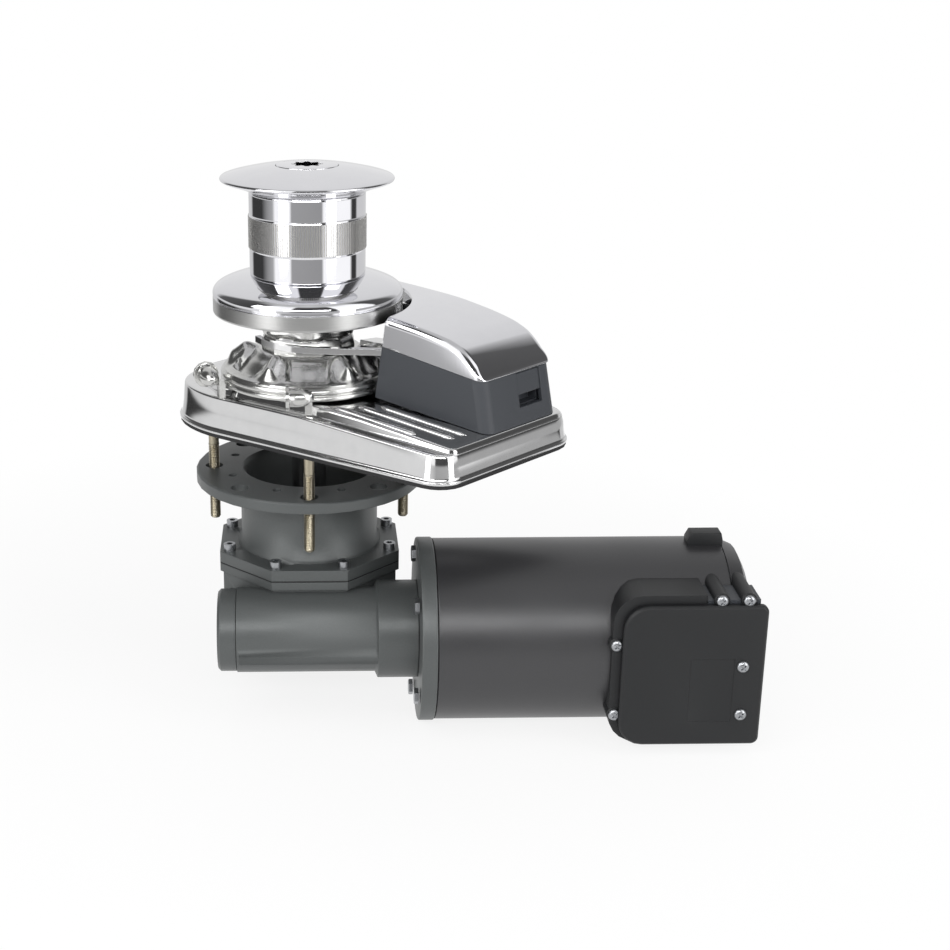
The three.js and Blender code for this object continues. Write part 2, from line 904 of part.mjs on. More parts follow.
function gypsySolid() {
  const around = gypsy.pockets * gypsy.pocketSteps;
  const radii = faceShares.map(
    (share) => gypsy.hubRadius + share * (gypsy.footRadius - gypsy.hubRadius),
  );
  const ring = (radius, height) =>
    Array.from({ length: around }, (_, i) => {
      const angle = (i * turn) / around;
      return [radius * Math.cos(angle), radius * Math.sin(angle), height(radius, angle)];
    });
  const groove = (gypsy.rimTop + gypsy.bottom) / 2;
  const rims = [
    [gypsy.rimRadius - gypsy.rimGroove, gypsy.bottom],
    [gypsy.rimRadius, gypsy.bottom + gypsy.rimGroove],
    [gypsy.rimRadius, groove - gypsy.rimGroove],
    [gypsy.rimRadius - gypsy.rimGroove, groove],
    [gypsy.rimRadius, groove + gypsy.rimGroove],
    [gypsy.rimRadius, gypsy.rimTop],
  ].map(([radius, z]) => ring(radius, () => z));
  const faces = radii.reverse().map((radius) => ring(radius, gypsyTop));
  const hubRing = ring(gypsy.hubRadius - gypsy.ringLobe, () => gypsy.ringBottom);
  const body = loft([...rims, ...faces, hubRing]);
  const facets = prism(
    polygon(gypsy.hubRadius, gypsy.hubSides, pocketTurn + turn / gypsy.hubSides / 2),
    gypsy.hubBottom - gypsy.ringLobe,
    gypsy.ringBottom + fit,
  );
  const lobe = (radius, angle) => radius + gypsy.ringLobe * Math.cos(gypsy.pockets * (angle - pocketTurn));
  const lobed = (z, drawn) =>
    Array.from({ length: around }, (_, i) => {
      const angle = (i * turn) / around;
      const radius = lobe(gypsy.ringRadius - drawn, angle);
      return [radius * Math.cos(angle), radius * Math.sin(angle), z];
    });
  const crown = loft([
    lobed(gypsy.ringBottom, gypsy.ringLobe),
    lobed(gypsy.ringBottom + gypsy.ringLobe, 0),
    lobed(gypsy.top, 0),
  ]);
  const bore = turned(
    [
      [0, gypsy.bottom - overrun],
      [cone.wideRadius + fit, gypsy.bottom - overrun],
      [cone.wideRadius + fit, lowerCone.bottom + cone.land + fit],
      [cone.thinRadius + fit, lowerCone.bottom + cone.height + fit],
      [gypsy.bore, lowerCone.bottom + cone.height + fit],
      [gypsy.bore, upperCone.bottom - fit],
      [cone.thinRadius + fit, upperCone.bottom - fit],
      [cone.wideRadius + fit, upperCone.bottom + cone.height - cone.land - fit],
      [cone.wideRadius + fit, gypsy.top + overrun],
      [0, gypsy.top + overrun],
    ],
    roundSteps,
  );
  return cut(join(body, facets, crown), bore);
}

const lowerCone = { bottom: plate.platformTop + fit };
const upperCone = { bottom: discUnit.bottom - fit - cone.height };
const shaftBore = shaftRadius + fit;

function lowerConeSolid() {
  const low = lowerCone.bottom;
  return turned(
    [
      [shaftBore, low],
      [cone.wideRadius, low],
      [cone.wideRadius, low + cone.land],
      [cone.thinRadius, low + cone.height],
      [shaftBore, low + cone.height],
      [shaftBore, low],
    ],
    roundSteps,
  );
}

function upperConeSolid() {
  const low = upperCone.bottom;
  return turned(
    [
      [shaftBore, low],
      [cone.thinRadius, low],
      [cone.wideRadius, low + cone.height - cone.land],
      [cone.wideRadius, low + cone.height],
      [shaftBore, low + cone.height],
      [shaftBore, low],
    ],
    roundSteps,
  );
}

function clutchDisc() {
  const { bottom, radius, edge, wallTop, crown, crownRadius } = discUnit;
  return turned(
    [
      [shaftBore, bottom],
      [radius - edge, bottom],
      [radius, bottom + edge],
      [radius, wallTop],
      ...domeShares.map(({ out, up }) => [radius * out, wallTop + (crown - wallTop) * up]),
      [crownRadius, crown],
      [shaftBore, crown],
      [shaftBore, bottom],
    ],
    wideSteps,
  );
}

function keySlot(inner, outer, low) {
  const half = key.width / 2;
  return block([inner, -half, low], [outer, half, low + key.length]);
}

const keyInner = shaftRadius - key.height / 2;
const keyOuter = shaftRadius + key.height / 2;

function keyRoom(low) {
  const half = key.width / 2 + fit;
  return block([keyInner - fit, -half, low - fit], [keyOuter + fit, half, low + key.length + fit]);
}

function drumSolid() {
  const { bottom, bottomEdge, radius, bandRadius, bandBottom, bandTop, bandEdge, top } = drumUnit;
  const body = turned(
    [
      [shaftBore, bottom],
      [radius - bottomEdge, bottom],
      [radius, bottom + bottomEdge],
      [radius, bandBottom],
      [bandRadius, bandBottom + bandEdge],
      [bandRadius, bandTop - bandEdge],
      [radius, bandTop],
      [radius, top],
      [shaftBore, top],
      [shaftBore, bottom],
    ],
    wideSteps,
  );
  return cut(body, keyRoom(drumKeyLevel));
}

// The cap lies on the drum, and the nut in the cap.
const capBottom = drumUnit.top + fit;
const capRim = capBottom + cap.rimRise;
const nutSeat = capBottom + cap.seatRise;
const nutTop = capBottom + nut.topRise;
const nutRoom = nut.radius + fit;

function drumCap() {
  return turned(
    [
      [cap.throat, capBottom],
      [drumUnit.radius, capBottom],
      [cap.coveRadius, capBottom + cap.coveRise],
      [cap.rimRadius - cap.rimEdge, capRim - cap.rimHalf],
      [cap.rimRadius, capRim],
      [cap.rimRadius - cap.rimEdge, capRim + cap.rimHalf],
      ...capShares.map(({ out, up }) => [cap.rimRadius * out, capRim + (nutTop - capRim) * up]),
      [nutRoom, nutTop - nut.edge],
      [nutRoom, nutSeat],
      [cap.throat, nutSeat],
      [cap.throat, capBottom],
    ],
    wideSteps,
  );
}

// The clutch nut in the middle of the cap, with a splined socket for the handle.
function clutchNut() {
  const body = turned(
    [
      [0, capBottom + nut.bottomRise],
      [cap.throat - fit, capBottom + nut.bottomRise],
      [cap.throat - fit, nutSeat + fit],
      [nut.radius, nutSeat + fit],
      [nut.radius, nutTop - nut.edge],
      [nut.radius - nut.edge, nutTop],
      [0, nutTop],
    ],
    roundSteps,
  );
  const points = nut.socketPoints * 2;
  const star = Array.from({ length: points }, (_, i) => {
    const radius = i % 2 ? nut.socketInner : nut.socketOuter;
    const angle = (i * turn) / points;
    return [radius * Math.cos(angle), radius * Math.sin(angle)];
  });
  return cut(body, prism(star, nutTop - nut.socketDepth, nutTop + overrun));
}

function mainShaft() {
  return cut(
    rod(shaftRadius, shaft.bottom, drumUnit.top + shaft.drumProud, roundSteps),
    keyRoom(drumKeyLevel),
    keyRoom(wheelKeyLevel),
  );
}

const wheelLevel = wormZ;
const wheelKeyLevel = wheelLevel - key.length / 2 + gear.hubTop / 2;

// Gearbox cover: mounting flange, hollow neck and eight-sided foot in one casting.
const coverCorner = cover.acrossFlats / 2 / Math.cos(Math.PI / 8);
const coverBottom = cover.top - cover.thickness;
const boltPlaces = polygon(cover.boltCircle, 8, Math.PI / 8);
const flangeTop = -deckGap;
const flangeBottom = flangeTop - flange.thickness;
const coverBearingTop = coverBottom + bearing.width + 2 * fit;

function gearboxCover() {
  const body = turned(
    [
      [0, coverBottom],
      [neck.beadRadius, coverBottom],
      [neck.beadRadius, cover.top + neck.beadHeight],
      [neck.radius, cover.top + 2 * neck.beadHeight],
      [neck.radius, flangeBottom - neck.flareHeight],
      [(neck.radius + neck.flareRadius) / 2 - fit, flangeBottom - neck.flareHeight / 3],
      [neck.flareRadius, flangeBottom],
      [flange.radius, flangeBottom],
      [flange.radius, flangeTop - flange.edge],
      [flange.radius - flange.edge, flangeTop],
      [0, flangeTop],
    ],
    wideSteps,
  );
  const foot = prism(polygon(coverCorner, 8, Math.PI / 8), coverBottom, cover.top);
  const well = turned(
    [
      [0, cover.floor],
      [flange.opening, cover.floor],
      [flange.opening, flangeTop - flange.mouthDepth],
      [flange.mouthRadius, flangeTop],
      [flange.mouthRadius, flangeTop + overrun],
      [0, flangeTop + overrun],
    ],
    wideSteps,
  );
  const throughFlange = ([x, y], radius) =>
    rod(radius, flangeBottom - overrun, flangeTop + overrun, smallSteps, x, y);
  return cut(
    join(body, foot),
    well,
    rod(bearing.radius + fit, coverBottom - overrun, coverBearingTop, roundSteps),
    rod(shaftRadius + 2 * fit, coverBottom, flangeTop, roundSteps),
    rod(seal.radius + fit, cover.floor - seal.height + fit, flangeTop, roundSteps),
    ...polygon(flange.slotCircle, flange.holes).map((place) => throughFlange(place, flange.slotRadius)),
    ...polygon(flange.smallCircle, flange.holes, Math.PI / 8).map((place) =>
      throughFlange(place, flange.smallRadius),
    ),
    ...boltPlaces.map(([x, y]) =>
      rod(bolt.shank + fit, coverBottom - overrun, cover.top + overrun, smallSteps, x, y),
    ),
  );
}

function coverGasket() {
  const high = coverBottom;
  const low = high - gasketSheet;
  return cut(
    prism(polygon(coverCorner, 8, Math.PI / 8), low, high),
    rod(box.chamberRadius + fit, low - overrun, high + overrun, roundSteps),
    ...boltPlaces.map(([x, y]) => rod(bolt.shank + fit, low - overrun, high + overrun, smallSteps, x, y)),
  );
}

function coverBolt([x, y]) {
  const head = turned(
    [
      [0, cover.top - bolt.length],
      [bolt.shank, cover.top - bolt.length],
      [bolt.shank, cover.top],
      [bolt.headRadius, cover.top],
      [bolt.headRadius, cover.top + bolt.headHeight],
      [0, cover.top + bolt.headHeight],
    ],
    smallSteps,
    x,
    y,
  );
  const top = cover.top + bolt.headHeight;
  return cut(head, prism(polygon(bolt.hex, bolt.sides, 0, x, y), top - bolt.hexDepth, top + overrun));
}

// Gearbox housing: wheel chamber, worm tube and motor collar in one casting.
function gearboxHousing() {
  const flangePart = prism(
    polygon(coverCorner, 8, Math.PI / 8),
    box.flangeTop - box.flangeThickness,
    box.flangeTop,
  );
  const chamberCorner = box.acrossFlats / 2 / Math.cos(Math.PI / 8);
  const chamber = prism(polygon(chamberCorner, 8, Math.PI / 8), box.bottom, box.flangeTop - fit);
  const wormTube = turnedAlongX(
    [
      [0, box.tubeStart],
      [box.tubeRadius, box.tubeStart],
      [box.tubeRadius, box.collarStart - endCap.edge],
      [box.collarRadius, box.collarStart],
      [box.collarRadius, box.tubeEnd],
      [0, box.tubeEnd],
    ],
    roundSteps,
  );
  const ledge = block(
    [box.tubeStart + endCap.edge, wormY - box.tubeRadius - box.ledgeProud, box.ledgeBottom],
    [box.collarStart, wormY, box.ledgeTop],
  );
  const pocketTop = box.chamberBottom;
  const pocketBottom = pocketTop - bearing.width - fit;
  return cut(
    join(flangePart, chamber, wormTube, ledge),
    rod(box.chamberRadius, box.chamberBottom, box.flangeTop + overrun, roundSteps),
    rod(bearing.radius + fit, pocketBottom, pocketTop + overrun, roundSteps),
    rod(shaftRadius + 2 * fit, shaft.bottom - fit, pocketTop, roundSteps),
    rodAlongX(wormBore, box.tubeStart - overrun, box.tubeEnd + overrun, roundSteps),
    rodAlongX(endCap.radius + fit, endCap.start - overrun, box.tubeStart - fit / 2, roundSteps),
    ...boltPlaces.map(([x, y]) =>
      rod(bolt.shank + fit, cover.top - bolt.length - fit, box.flangeTop + overrun, smallSteps, x, y),
    ),
  );
}

// Worm wheel with teeth that lean with the worm's lead.
const pitchRadius = (gear.module * gear.teeth) / 2;
const lead = Math.PI * gear.module;

function wormWheel() {
  const toothRing = (z) => {
    const twist = ((z - wheelLevel) * lead) / (turn * worm.pitchRadius) / pitchRadius;
    const step = turn / gear.teeth;
    const points = [];
    for (let tooth = 0; tooth < gear.teeth; tooth++) {
      const middle = -Math.PI / 2 + tooth * step + step / 2 + twist;
      const root = pitchRadius - gear.rootDrop;
      const tip = pitchRadius + gear.module * toothShares.tip;
      points.push([root, middle - step * toothShares.rootHalf], [tip, middle - step * toothShares.tipHalf]);
      points.push([tip, middle + step * toothShares.tipHalf], [root, middle + step * toothShares.rootHalf]);
    }
    return points.map(([radius, angle]) => [radius * Math.cos(angle), radius * Math.sin(angle), z]);
  };
  const low = wheelLevel - gear.width / 2;
  const high = wheelLevel + gear.width / 2;
  const hub = rod(gear.hubRadius, low - gear.hubTop / 2 + fit, high + gear.hubTop, roundSteps);
  return cut(
    join(loft([toothRing(low), toothRing(high)]), hub),
    rod(shaftBore, low - 2 * overrun, high + 2 * overrun, roundSteps),
    keyRoom(wheelKeyLevel),
  );
}

// Worm: a thread of trapezium section round the shaft, as a grid of points round and along.
function wormShaft() {
  const around = worm.around;
  const perLead = worm.perLead;
  const run = worm.turns * lead;
  const crest = worm.pitchRadius + gear.module * worm.crestShare;
  const ringAtPlace = (place) =>
    Array.from({ length: around }, (_, i) => {
      const angle = (i * turn) / around;
      const phase = THREE.MathUtils.euclideanModulo(place / lead - angle / turn + 1 / 2, 1) - 1 / 2;
      const off = Math.abs(phase) * lead;
      const slope = THREE.MathUtils.clamp((off - worm.threadHalf) / worm.flankRun, 0, 1);
      const fade = THREE.MathUtils.clamp((run / 2 - Math.abs(place)) / lead, 0, 1);
      const radius = worm.coreRadius + (crest - worm.coreRadius) * (1 - slope) * fade;
      return [place, radius * Math.cos(angle), radius * Math.sin(angle)];
    });
  const stations = [];
  for (let step = 0; step <= worm.turns * perLead; step++) {
    stations.push(-run / 2 + (run * step) / (worm.turns * perLead));
  }
  const thread = loft(stations.map(ringAtPlace), ([, y, z]) => [y, z]);
  const centred = solid(meshGeometry(thread).translate(0, wormY, wormZ));
  return join(
    centred,
    rodAlongX(worm.coreRadius - fit, box.tubeStart + fit, motor.flangeEnd, smallSteps),
  );
}

function wormEndCap() {
  const inner = wormBore;
  return turnedAlongX(
    [
      [0, endCap.start],
      [endCap.radius - endCap.edge, endCap.start],
      [endCap.radius, endCap.start + endCap.edge],
      [endCap.radius, box.tubeStart - fit],
      [inner, box.tubeStart - fit],
      [inner, endCap.start + endCap.wall],
      [0, endCap.start + endCap.wall],
    ],
    roundSteps,
  );
}

const sealRing = (low, high) => tube(shaftBore, seal.radius, low, high, roundSteps);

function bearingRing(low) {
  const { radius, width, groove } = bearing;
  const middle = (shaftBore + radius) / 2;
  return turned(
    [
      [shaftBore, low],
      [middle - groove, low],
      [middle, low + groove],
      [middle + groove, low],
      [radius, low],
      [radius, low + width],
      [shaftBore, low + width],
      [shaftBore, low],
    ],
    roundSteps,
  );
}

function wormBearingRing(from) {
  return tubeAlongX(worm.coreRadius, wormBearing.radius, from, from + wormBearing.width, smallSteps);
}

// Motor casing.
function motorFlange() {
  const { flangeStart, flangeEnd, flangeRadius } = motor;
  return tubeAlongX(motor.shaftRadius + 2 * fit, flangeRadius, flangeStart, flangeEnd, wideSteps);
}

function motorYoke() {
  return tubeAlongX(
    motor.yokeRadius - motor.yokeWall,
    motor.yokeRadius,
    motor.flangeEnd + fit,
    motor.yokeEnd,
    wideSteps,
  );
}

function endBell() {
  const start = motor.yokeEnd + fit;
  const { yokeRadius, bellEnd, bellRim, bellWall, shaftRadius: pin } = motor;
  return turnedAlongX(
    [
      [0, bellEnd],
      [bellRim - bellWall, bellEnd],
      [bellRim + bellWall, bellEnd - bellWall],
      [yokeRadius, start],
      [yokeRadius - bellWall, start],
      [bellRim, bellEnd - 2 * bellWall],
      [pin + bellWall, bellEnd - 2 * bellWall],
      [pin + bellWall, start],
      [pin + fit, start],
      [pin + fit, bellEnd - bellWall],
      [0, bellEnd - bellWall],
    ],
    wideSteps,
  );
}

const armatureStart = motor.flangeEnd + fit;
const armatureEnd = motor.bellEnd - motor.bellWall - fit;

function armature() {
  const shoulder = motor.coreRadius * motor.shoulderShare;
  const overhang = (motor.coreStart - motor.flangeEnd) / 2;
  return turnedAlongX(
    [
      [0, armatureStart],
      [motor.shaftRadius, armatureStart],
      [motor.shaftRadius, motor.coreStart - overhang],
      [shoulder, motor.coreStart - overhang],
      [motor.coreRadius, motor.coreStart],
      [motor.coreRadius, motor.coreEnd],
      [motor.shaftRadius, motor.coreEnd],
      [motor.shaftRadius, armatureEnd],
      [0, armatureEnd],
    ],
    roundSteps,
  );
}

function commutator() {
  return tubeAlongX(
    motor.shaftRadius + fit,
    motor.commutatorRadius,
    motor.commutatorStart,
    motor.commutatorEnd,
    roundSteps,
  );
}

// A magnet: a stretch of ring glued inside the yoke, above or below the armature.
function magnet(sense) {
  const outer = motor.yokeRadius - motor.yokeWall - fit;
  const inner = outer - motor.magnetThickness;
  const steps = cornerSteps * 2;
  const arc = (radius, from, to) =>
    Array.from({ length: steps + 1 }, (_, i) => {
      const angle = from + ((to - from) * i) / steps;
      return [wormY + radius * Math.cos(angle), wormZ + radius * Math.sin(angle)];
    });
  const middle = (sense * Math.PI) / 2;
  const half = motor.magnetSweep / 2;
  const outline = [...arc(outer, middle - half, middle + half), ...arc(inner, middle + half, middle - half)];
  return loft(
    [motor.coreStart, motor.coreEnd].map((x) => outline.map(([y, z]) => [x, y, z])),
    ([, y, z]) => [y, z],
  );
}

function brushRing() {
  const outer = motor.yokeRadius - motor.yokeWall - fit;
  const inner = motor.commutatorRadius + brush.width / 2;
  return tubeAlongX(inner, outer, motor.ringStart, motor.ringEnd, roundSteps);
}

function brushBlock(sense) {
  const inner = motor.commutatorRadius + fit;
  const outer = inner + brush.height;
  const [low, high] = sense > 0 ? [inner, outer] : [-outer, -inner];
  const end = motor.ringStart - fit;
  return block(
    [end - brush.length, wormY - brush.width / 2, wormZ + low],
    [end, wormY + brush.width / 2, wormZ + high],
  );
}

// Terminal box: outlines in x and z, with depth along y.
function sidePrism(corners, inset, front, back) {
  return crossPrism(roundedOutline(corners, inset), front, back);
}

const yokeRoom = () =>
  rodAlongX(motor.yokeRadius + fit, motor.flangeEnd, motor.bellEnd + overrun, wideSteps);

const boxRight = motor.bellEnd + terminal.endProud;
const boxLeft = boxRight - terminal.length;
const coverLeft = boxLeft + terminal.coverInset;
const coverCorners = [
  [coverLeft, terminal.coverBottom, terminal.coverCorner],
  [boxRight, terminal.coverBottom, terminal.wall],
  [boxRight, terminal.coverTop, terminal.wall],
  [coverLeft, terminal.coverTop, terminal.coverCorner],
];
const leadRight = boxRight - leadBlock.endInset;
const leadLeft = leadRight - leadBlock.length;

function terminalBox() {
  const { top, bottom, corner, front, back, wall } = terminal;
  const corners = [
    [boxLeft, bottom, corner],
    [boxRight, bottom, wall],
    [boxRight, top, wall],
    [boxLeft, top, corner],
  ];
  const room = block(
    [leadLeft - fit, front - overrun, leadBlock.bottom - fit],
    [boxRight + overrun, back + overrun, top + overrun],
  );
  return cut(
    sidePrism(corners, 0, front, back),
    sidePrism(coverCorners, wall, front - overrun, back + overrun),
    yokeRoom(),
    room,
  );
}

function terminalCover() {
  const { coverFront, front, coverEdge, wall } = terminal;
  const ring = (inset, y) => roundedOutline(coverCorners, inset).map(([x, z]) => [x, y, z]);
  const shell = loft(
    [ring(0, front - fit), ring(0, coverFront + coverEdge), ring(coverEdge, coverFront)],
    ([x, , z]) => [x, z],
  );
  const inside = sidePrism(coverCorners, wall, coverFront + coverEdge * 2, front + overrun);
  return cut(shell, inside);
}

function leadBlockSolid() {
  const { bottom, top, front, back, bossRadius, bossInset, bossPitch } = leadBlock;
  const length = back - front - 2 * fit;
  const boss = (x) => {
    const geometry = new THREE.CylinderGeometry(bossRadius, bossRadius, length, smallSteps);
    return solid(geometry.translate(x, (front + back) / 2, top));
  };
  const body = block([leadLeft, front, bottom], [leadRight, back, top]);
  const firstBoss = leadLeft + bossInset;
  return cut(join(body, boss(firstBoss), boss(firstBoss + bossPitch)), yokeRoom());
}

// Terminal block with two posts, on the yoke behind the cover.
function terminalBlock() {
  const { leftClear, rightClear, height, depth, z, postRadius, postHeight, postInset } = postBlock;
  const left = coverLeft + terminal.wall + leftClear;
  const right = boxRight - terminal.wall - rightClear;
  const back = wormY - Math.sqrt((motor.yokeRadius + fit) ** 2 - (z + height / 2 - wormZ) ** 2);
  const front = back - depth;
  const base = cut(
    block([left, front, z - height / 2], [right, back + overrun, z + height / 2]),
    yokeRoom(),
  );
  const post = (place) => {
    const geometry = new THREE.CylinderGeometry(postRadius, postRadius, postHeight, smallSteps);
    return solid(geometry.translate(place, front - postHeight / 2 + fit, z));
  };
  return join(base, post(left + postInset), post(right - postInset));
}

// Meshes and finishes.
function meshGeometry(made) {
  const { vertProperties, triVerts } = made.getMesh();
  const geometry = new THREE.BufferGeometry();
  geometry.setAttribute("position", new THREE.BufferAttribute(new Float32Array(vertProperties), 3));
  geometry.setIndex(new THREE.BufferAttribute(new Uint32Array(triVerts), 1));
  return geometry;
}

const finishes = {
  chrome: { color: 0xd2d2d4, roughness: 0.12, metalness: 1 },
  polished: { color: 0xc8c8ca, roughness: 0.2, metalness: 1 },
  stainless: { color: 0xb3ac9c, roughness: 0.4, metalness: 1 },
  steel: { color: 0x9a9c9e, roughness: 0.45, metalness: 1 },
  casting: { color: 0x6e7171, roughness: 0.6, metalness: 0.3 },
  blackPaint: { color: 0x3a3a3b, roughness: 0.5, metalness: 0.2 },
  plastic: { color: 0x3f4246, roughness: 0.55, metalness: 0 },
  rubber: { color: 0x1b1b1c, roughness: 0.85, metalness: 0 },
  bronze: { color: 0xa87d4a, roughness: 0.45, metalness: 1 },
  copper: { color: 0xb06a42, roughness: 0.4, metalness: 1 },
  ferrite: { color: 0x35363a, roughness: 0.8, metalness: 0.1 },
};

function mesh(name, finish, made) {
  const geometry = meshGeometry(made);
  geometry.computeVertexNormals();
  const piece = new THREE.Mesh(geometry, new THREE.MeshStandardMaterial(finishes[finish]));
  piece.name = name;
  return piece;
}

const deckUnit = new THREE.Group();
deckUnit.add(
  mesh("deck_gasket", "rubber", deckGasket()),
  mesh("base_plate", "polished", basePlate()),
  mesh("rim_lug_left", "chrome", rimLug(lug.leftTurn)),
  mesh("rim_lug_front", "chrome", rimLug(lug.frontTurn)),
  ...studPlaces.map((place, i) => mesh(`base_stud_${i + 1}`, "stainless", baseStud(place))),
  mesh("chain_housing", "plastic", chainHousing()),
  mesh("housing_lid", "chrome", housingLid()),
  mesh("housing_latch", "plastic", housingLatch()),
  mesh("pressure_lever", "polished", pressureLever()),
  mesh("lever_pin", "steel", leverPinSolid()),
  mesh("lever_spring", "steel", leverSpringSolid()),
  mesh("chain_stripper", "steel", chainStripper()),
  mesh("gypsy", "polished", gypsySolid()),
  mesh("lower_clutch_cone", "bronze", lowerConeSolid()),
  mesh("upper_clutch_cone", "bronze", upperConeSolid()),
  mesh("clutch_disc", "chrome", clutchDisc()),
  mesh("drum", "chrome", drumSolid()),
  mesh("drum_cap", "chrome", drumCap()),
  mesh("clutch_nut", "chrome", clutchNut()),
  mesh("main_shaft", "steel", mainShaft()),
  mesh("drum_key", "steel", keySlot(keyInner, keyOuter, drumKeyLevel)),
  mesh("wheel_key", "steel", keySlot(keyInner, keyOuter, wheelKeyLevel)),
  mesh("shaft_seal", "rubber", sealRing(plate.platformTop - seal.height, plate.platformTop)),
  mesh("base_bush", "bronze", tube(shaftBore, bush.radius, bush.bottom, bush.top, roundSteps)),
);

const gearmotor = new THREE.Group();
gearmotor.rotation.z = gearmotorTurn;
gearmotor.add(
  mesh("gearbox_cover", "casting", gearboxCover()),
  mesh("cover_gasket", "rubber", coverGasket()),
  mesh("gearbox_housing", "casting", gearboxHousing()),
  ...boltPlaces.map((place, i) => mesh(`cover_bolt_${i + 1}`, "steel", coverBolt(place))),
  mesh("worm_shaft", "steel", wormShaft()),
  mesh("upper_bearing", "steel", bearingRing(coverBottom + fit)),
  mesh("lower_bearing", "steel", bearingRing(box.chamberBottom - bearing.width)),
  mesh("worm_bearing_front", "steel", wormBearingRing(box.tubeStart + fit)),
  mesh("worm_bearing_rear", "steel", wormBearingRing(box.tubeEnd - fit - wormBearing.width)),
  mesh("oil_seal", "rubber", sealRing(cover.floor - seal.height + 2 * fit, cover.floor)),
  mesh("worm_end_cap", "casting", wormEndCap()),
  mesh("motor_flange", "casting", motorFlange()),
  mesh("motor_yoke", "blackPaint", motorYoke()),
  mesh("end_bell", "blackPaint", endBell()),
  mesh("armature", "copper", armature()),
  mesh("commutator", "copper", commutator()),
  mesh("magnet_upper", "ferrite", magnet(1)),
  mesh("magnet_lower", "ferrite", magnet(-1)),
  mesh("brush_ring", "plastic", brushRing()),
  mesh("brush_upper", "ferrite", brushBlock(1)),
  mesh("brush_lower", "ferrite", brushBlock(-1)),
  mesh("terminal_box", "blackPaint", terminalBox()),
  mesh("terminal_cover", "blackPaint", terminalCover()),
  mesh("terminal_block", "plastic", terminalBlock()),
  mesh("lead_block", "plastic", leadBlockSolid()),
);
deckUnit.add(mesh("worm_wheel", "bronze", wormWheel()));

const windlass = new THREE.Group();
windlass.add(deckUnit, gearmotor);
export default windlass;
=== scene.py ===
"""Blender 4.5 scene of a vertical anchor windlass over its worm gearmotor.

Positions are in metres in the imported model's frame: +Z up, the origin on the drum axis in the deck
plane. Sizes are written in millimetres and turned to metres with MM. The gearmotor's own frame,
with x along the worm and motor, is turned about the drum axis by GEARMOTOR_TURN.
"""

import json
import math

import bmesh
import bpy
from mathutils import Matrix, Vector


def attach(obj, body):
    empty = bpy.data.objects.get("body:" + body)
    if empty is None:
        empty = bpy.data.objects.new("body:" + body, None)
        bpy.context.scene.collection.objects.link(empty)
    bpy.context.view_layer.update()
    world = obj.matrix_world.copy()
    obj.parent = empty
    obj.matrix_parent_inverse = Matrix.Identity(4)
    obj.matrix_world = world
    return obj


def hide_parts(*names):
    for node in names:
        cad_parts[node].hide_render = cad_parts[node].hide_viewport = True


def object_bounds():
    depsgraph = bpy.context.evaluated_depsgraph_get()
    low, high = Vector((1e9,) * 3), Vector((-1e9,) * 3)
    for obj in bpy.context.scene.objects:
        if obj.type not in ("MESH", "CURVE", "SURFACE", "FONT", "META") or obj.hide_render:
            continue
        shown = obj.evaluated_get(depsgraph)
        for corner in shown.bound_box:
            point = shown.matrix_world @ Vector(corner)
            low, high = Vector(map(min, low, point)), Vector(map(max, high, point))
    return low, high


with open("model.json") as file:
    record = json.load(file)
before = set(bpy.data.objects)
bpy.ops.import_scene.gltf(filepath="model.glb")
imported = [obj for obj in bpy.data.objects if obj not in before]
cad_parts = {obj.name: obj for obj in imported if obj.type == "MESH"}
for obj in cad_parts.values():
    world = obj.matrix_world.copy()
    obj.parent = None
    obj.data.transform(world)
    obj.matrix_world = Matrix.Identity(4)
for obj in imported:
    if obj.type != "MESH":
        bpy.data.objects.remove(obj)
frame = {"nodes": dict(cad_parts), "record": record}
cad_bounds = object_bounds()

MM = 0.001
GEARMOTOR_TURN = math.radians(45)
GEARMOTOR = Matrix.Rotation(GEARMOTOR_TURN, 4, "Z")
UNTURNED = Matrix.Identity(4)
NODES = frame["nodes"]
BODY_OF = {
    node: body
    for body, members in frame["record"]["behaviour"]["bodies"].items()
    for node in members
}
SLOT_OF = {part["node"]: part["material_slot"] for part in frame["record"]["subparts"]}

# Materials


def linear(code):
    """An sRGB hex colour as the linear colour that shaders take."""
    channels = [int(code[i : i + 2], 16) / 255 for i in (1, 3, 5)]
    return (*[c / 12.92 if c <= 0.04045 else ((c + 0.055) / 1.055) ** 2.4 for c in channels], 1.0)


def add_node(tree, kind, settings=None, sockets=None, links=None):
    """A node with its settings, its sockets' values and the outputs that feed it."""
    node = tree.nodes.new(kind)
    for name, value in (settings or {}).items():
        setattr(node, name, value)
    for name, value in (sockets or {}).items():
        node.inputs[name].default_value = value
    for name, source in (links or {}).items():
        tree.links.new(source, node.inputs[name])
    return node


PATCH = 60


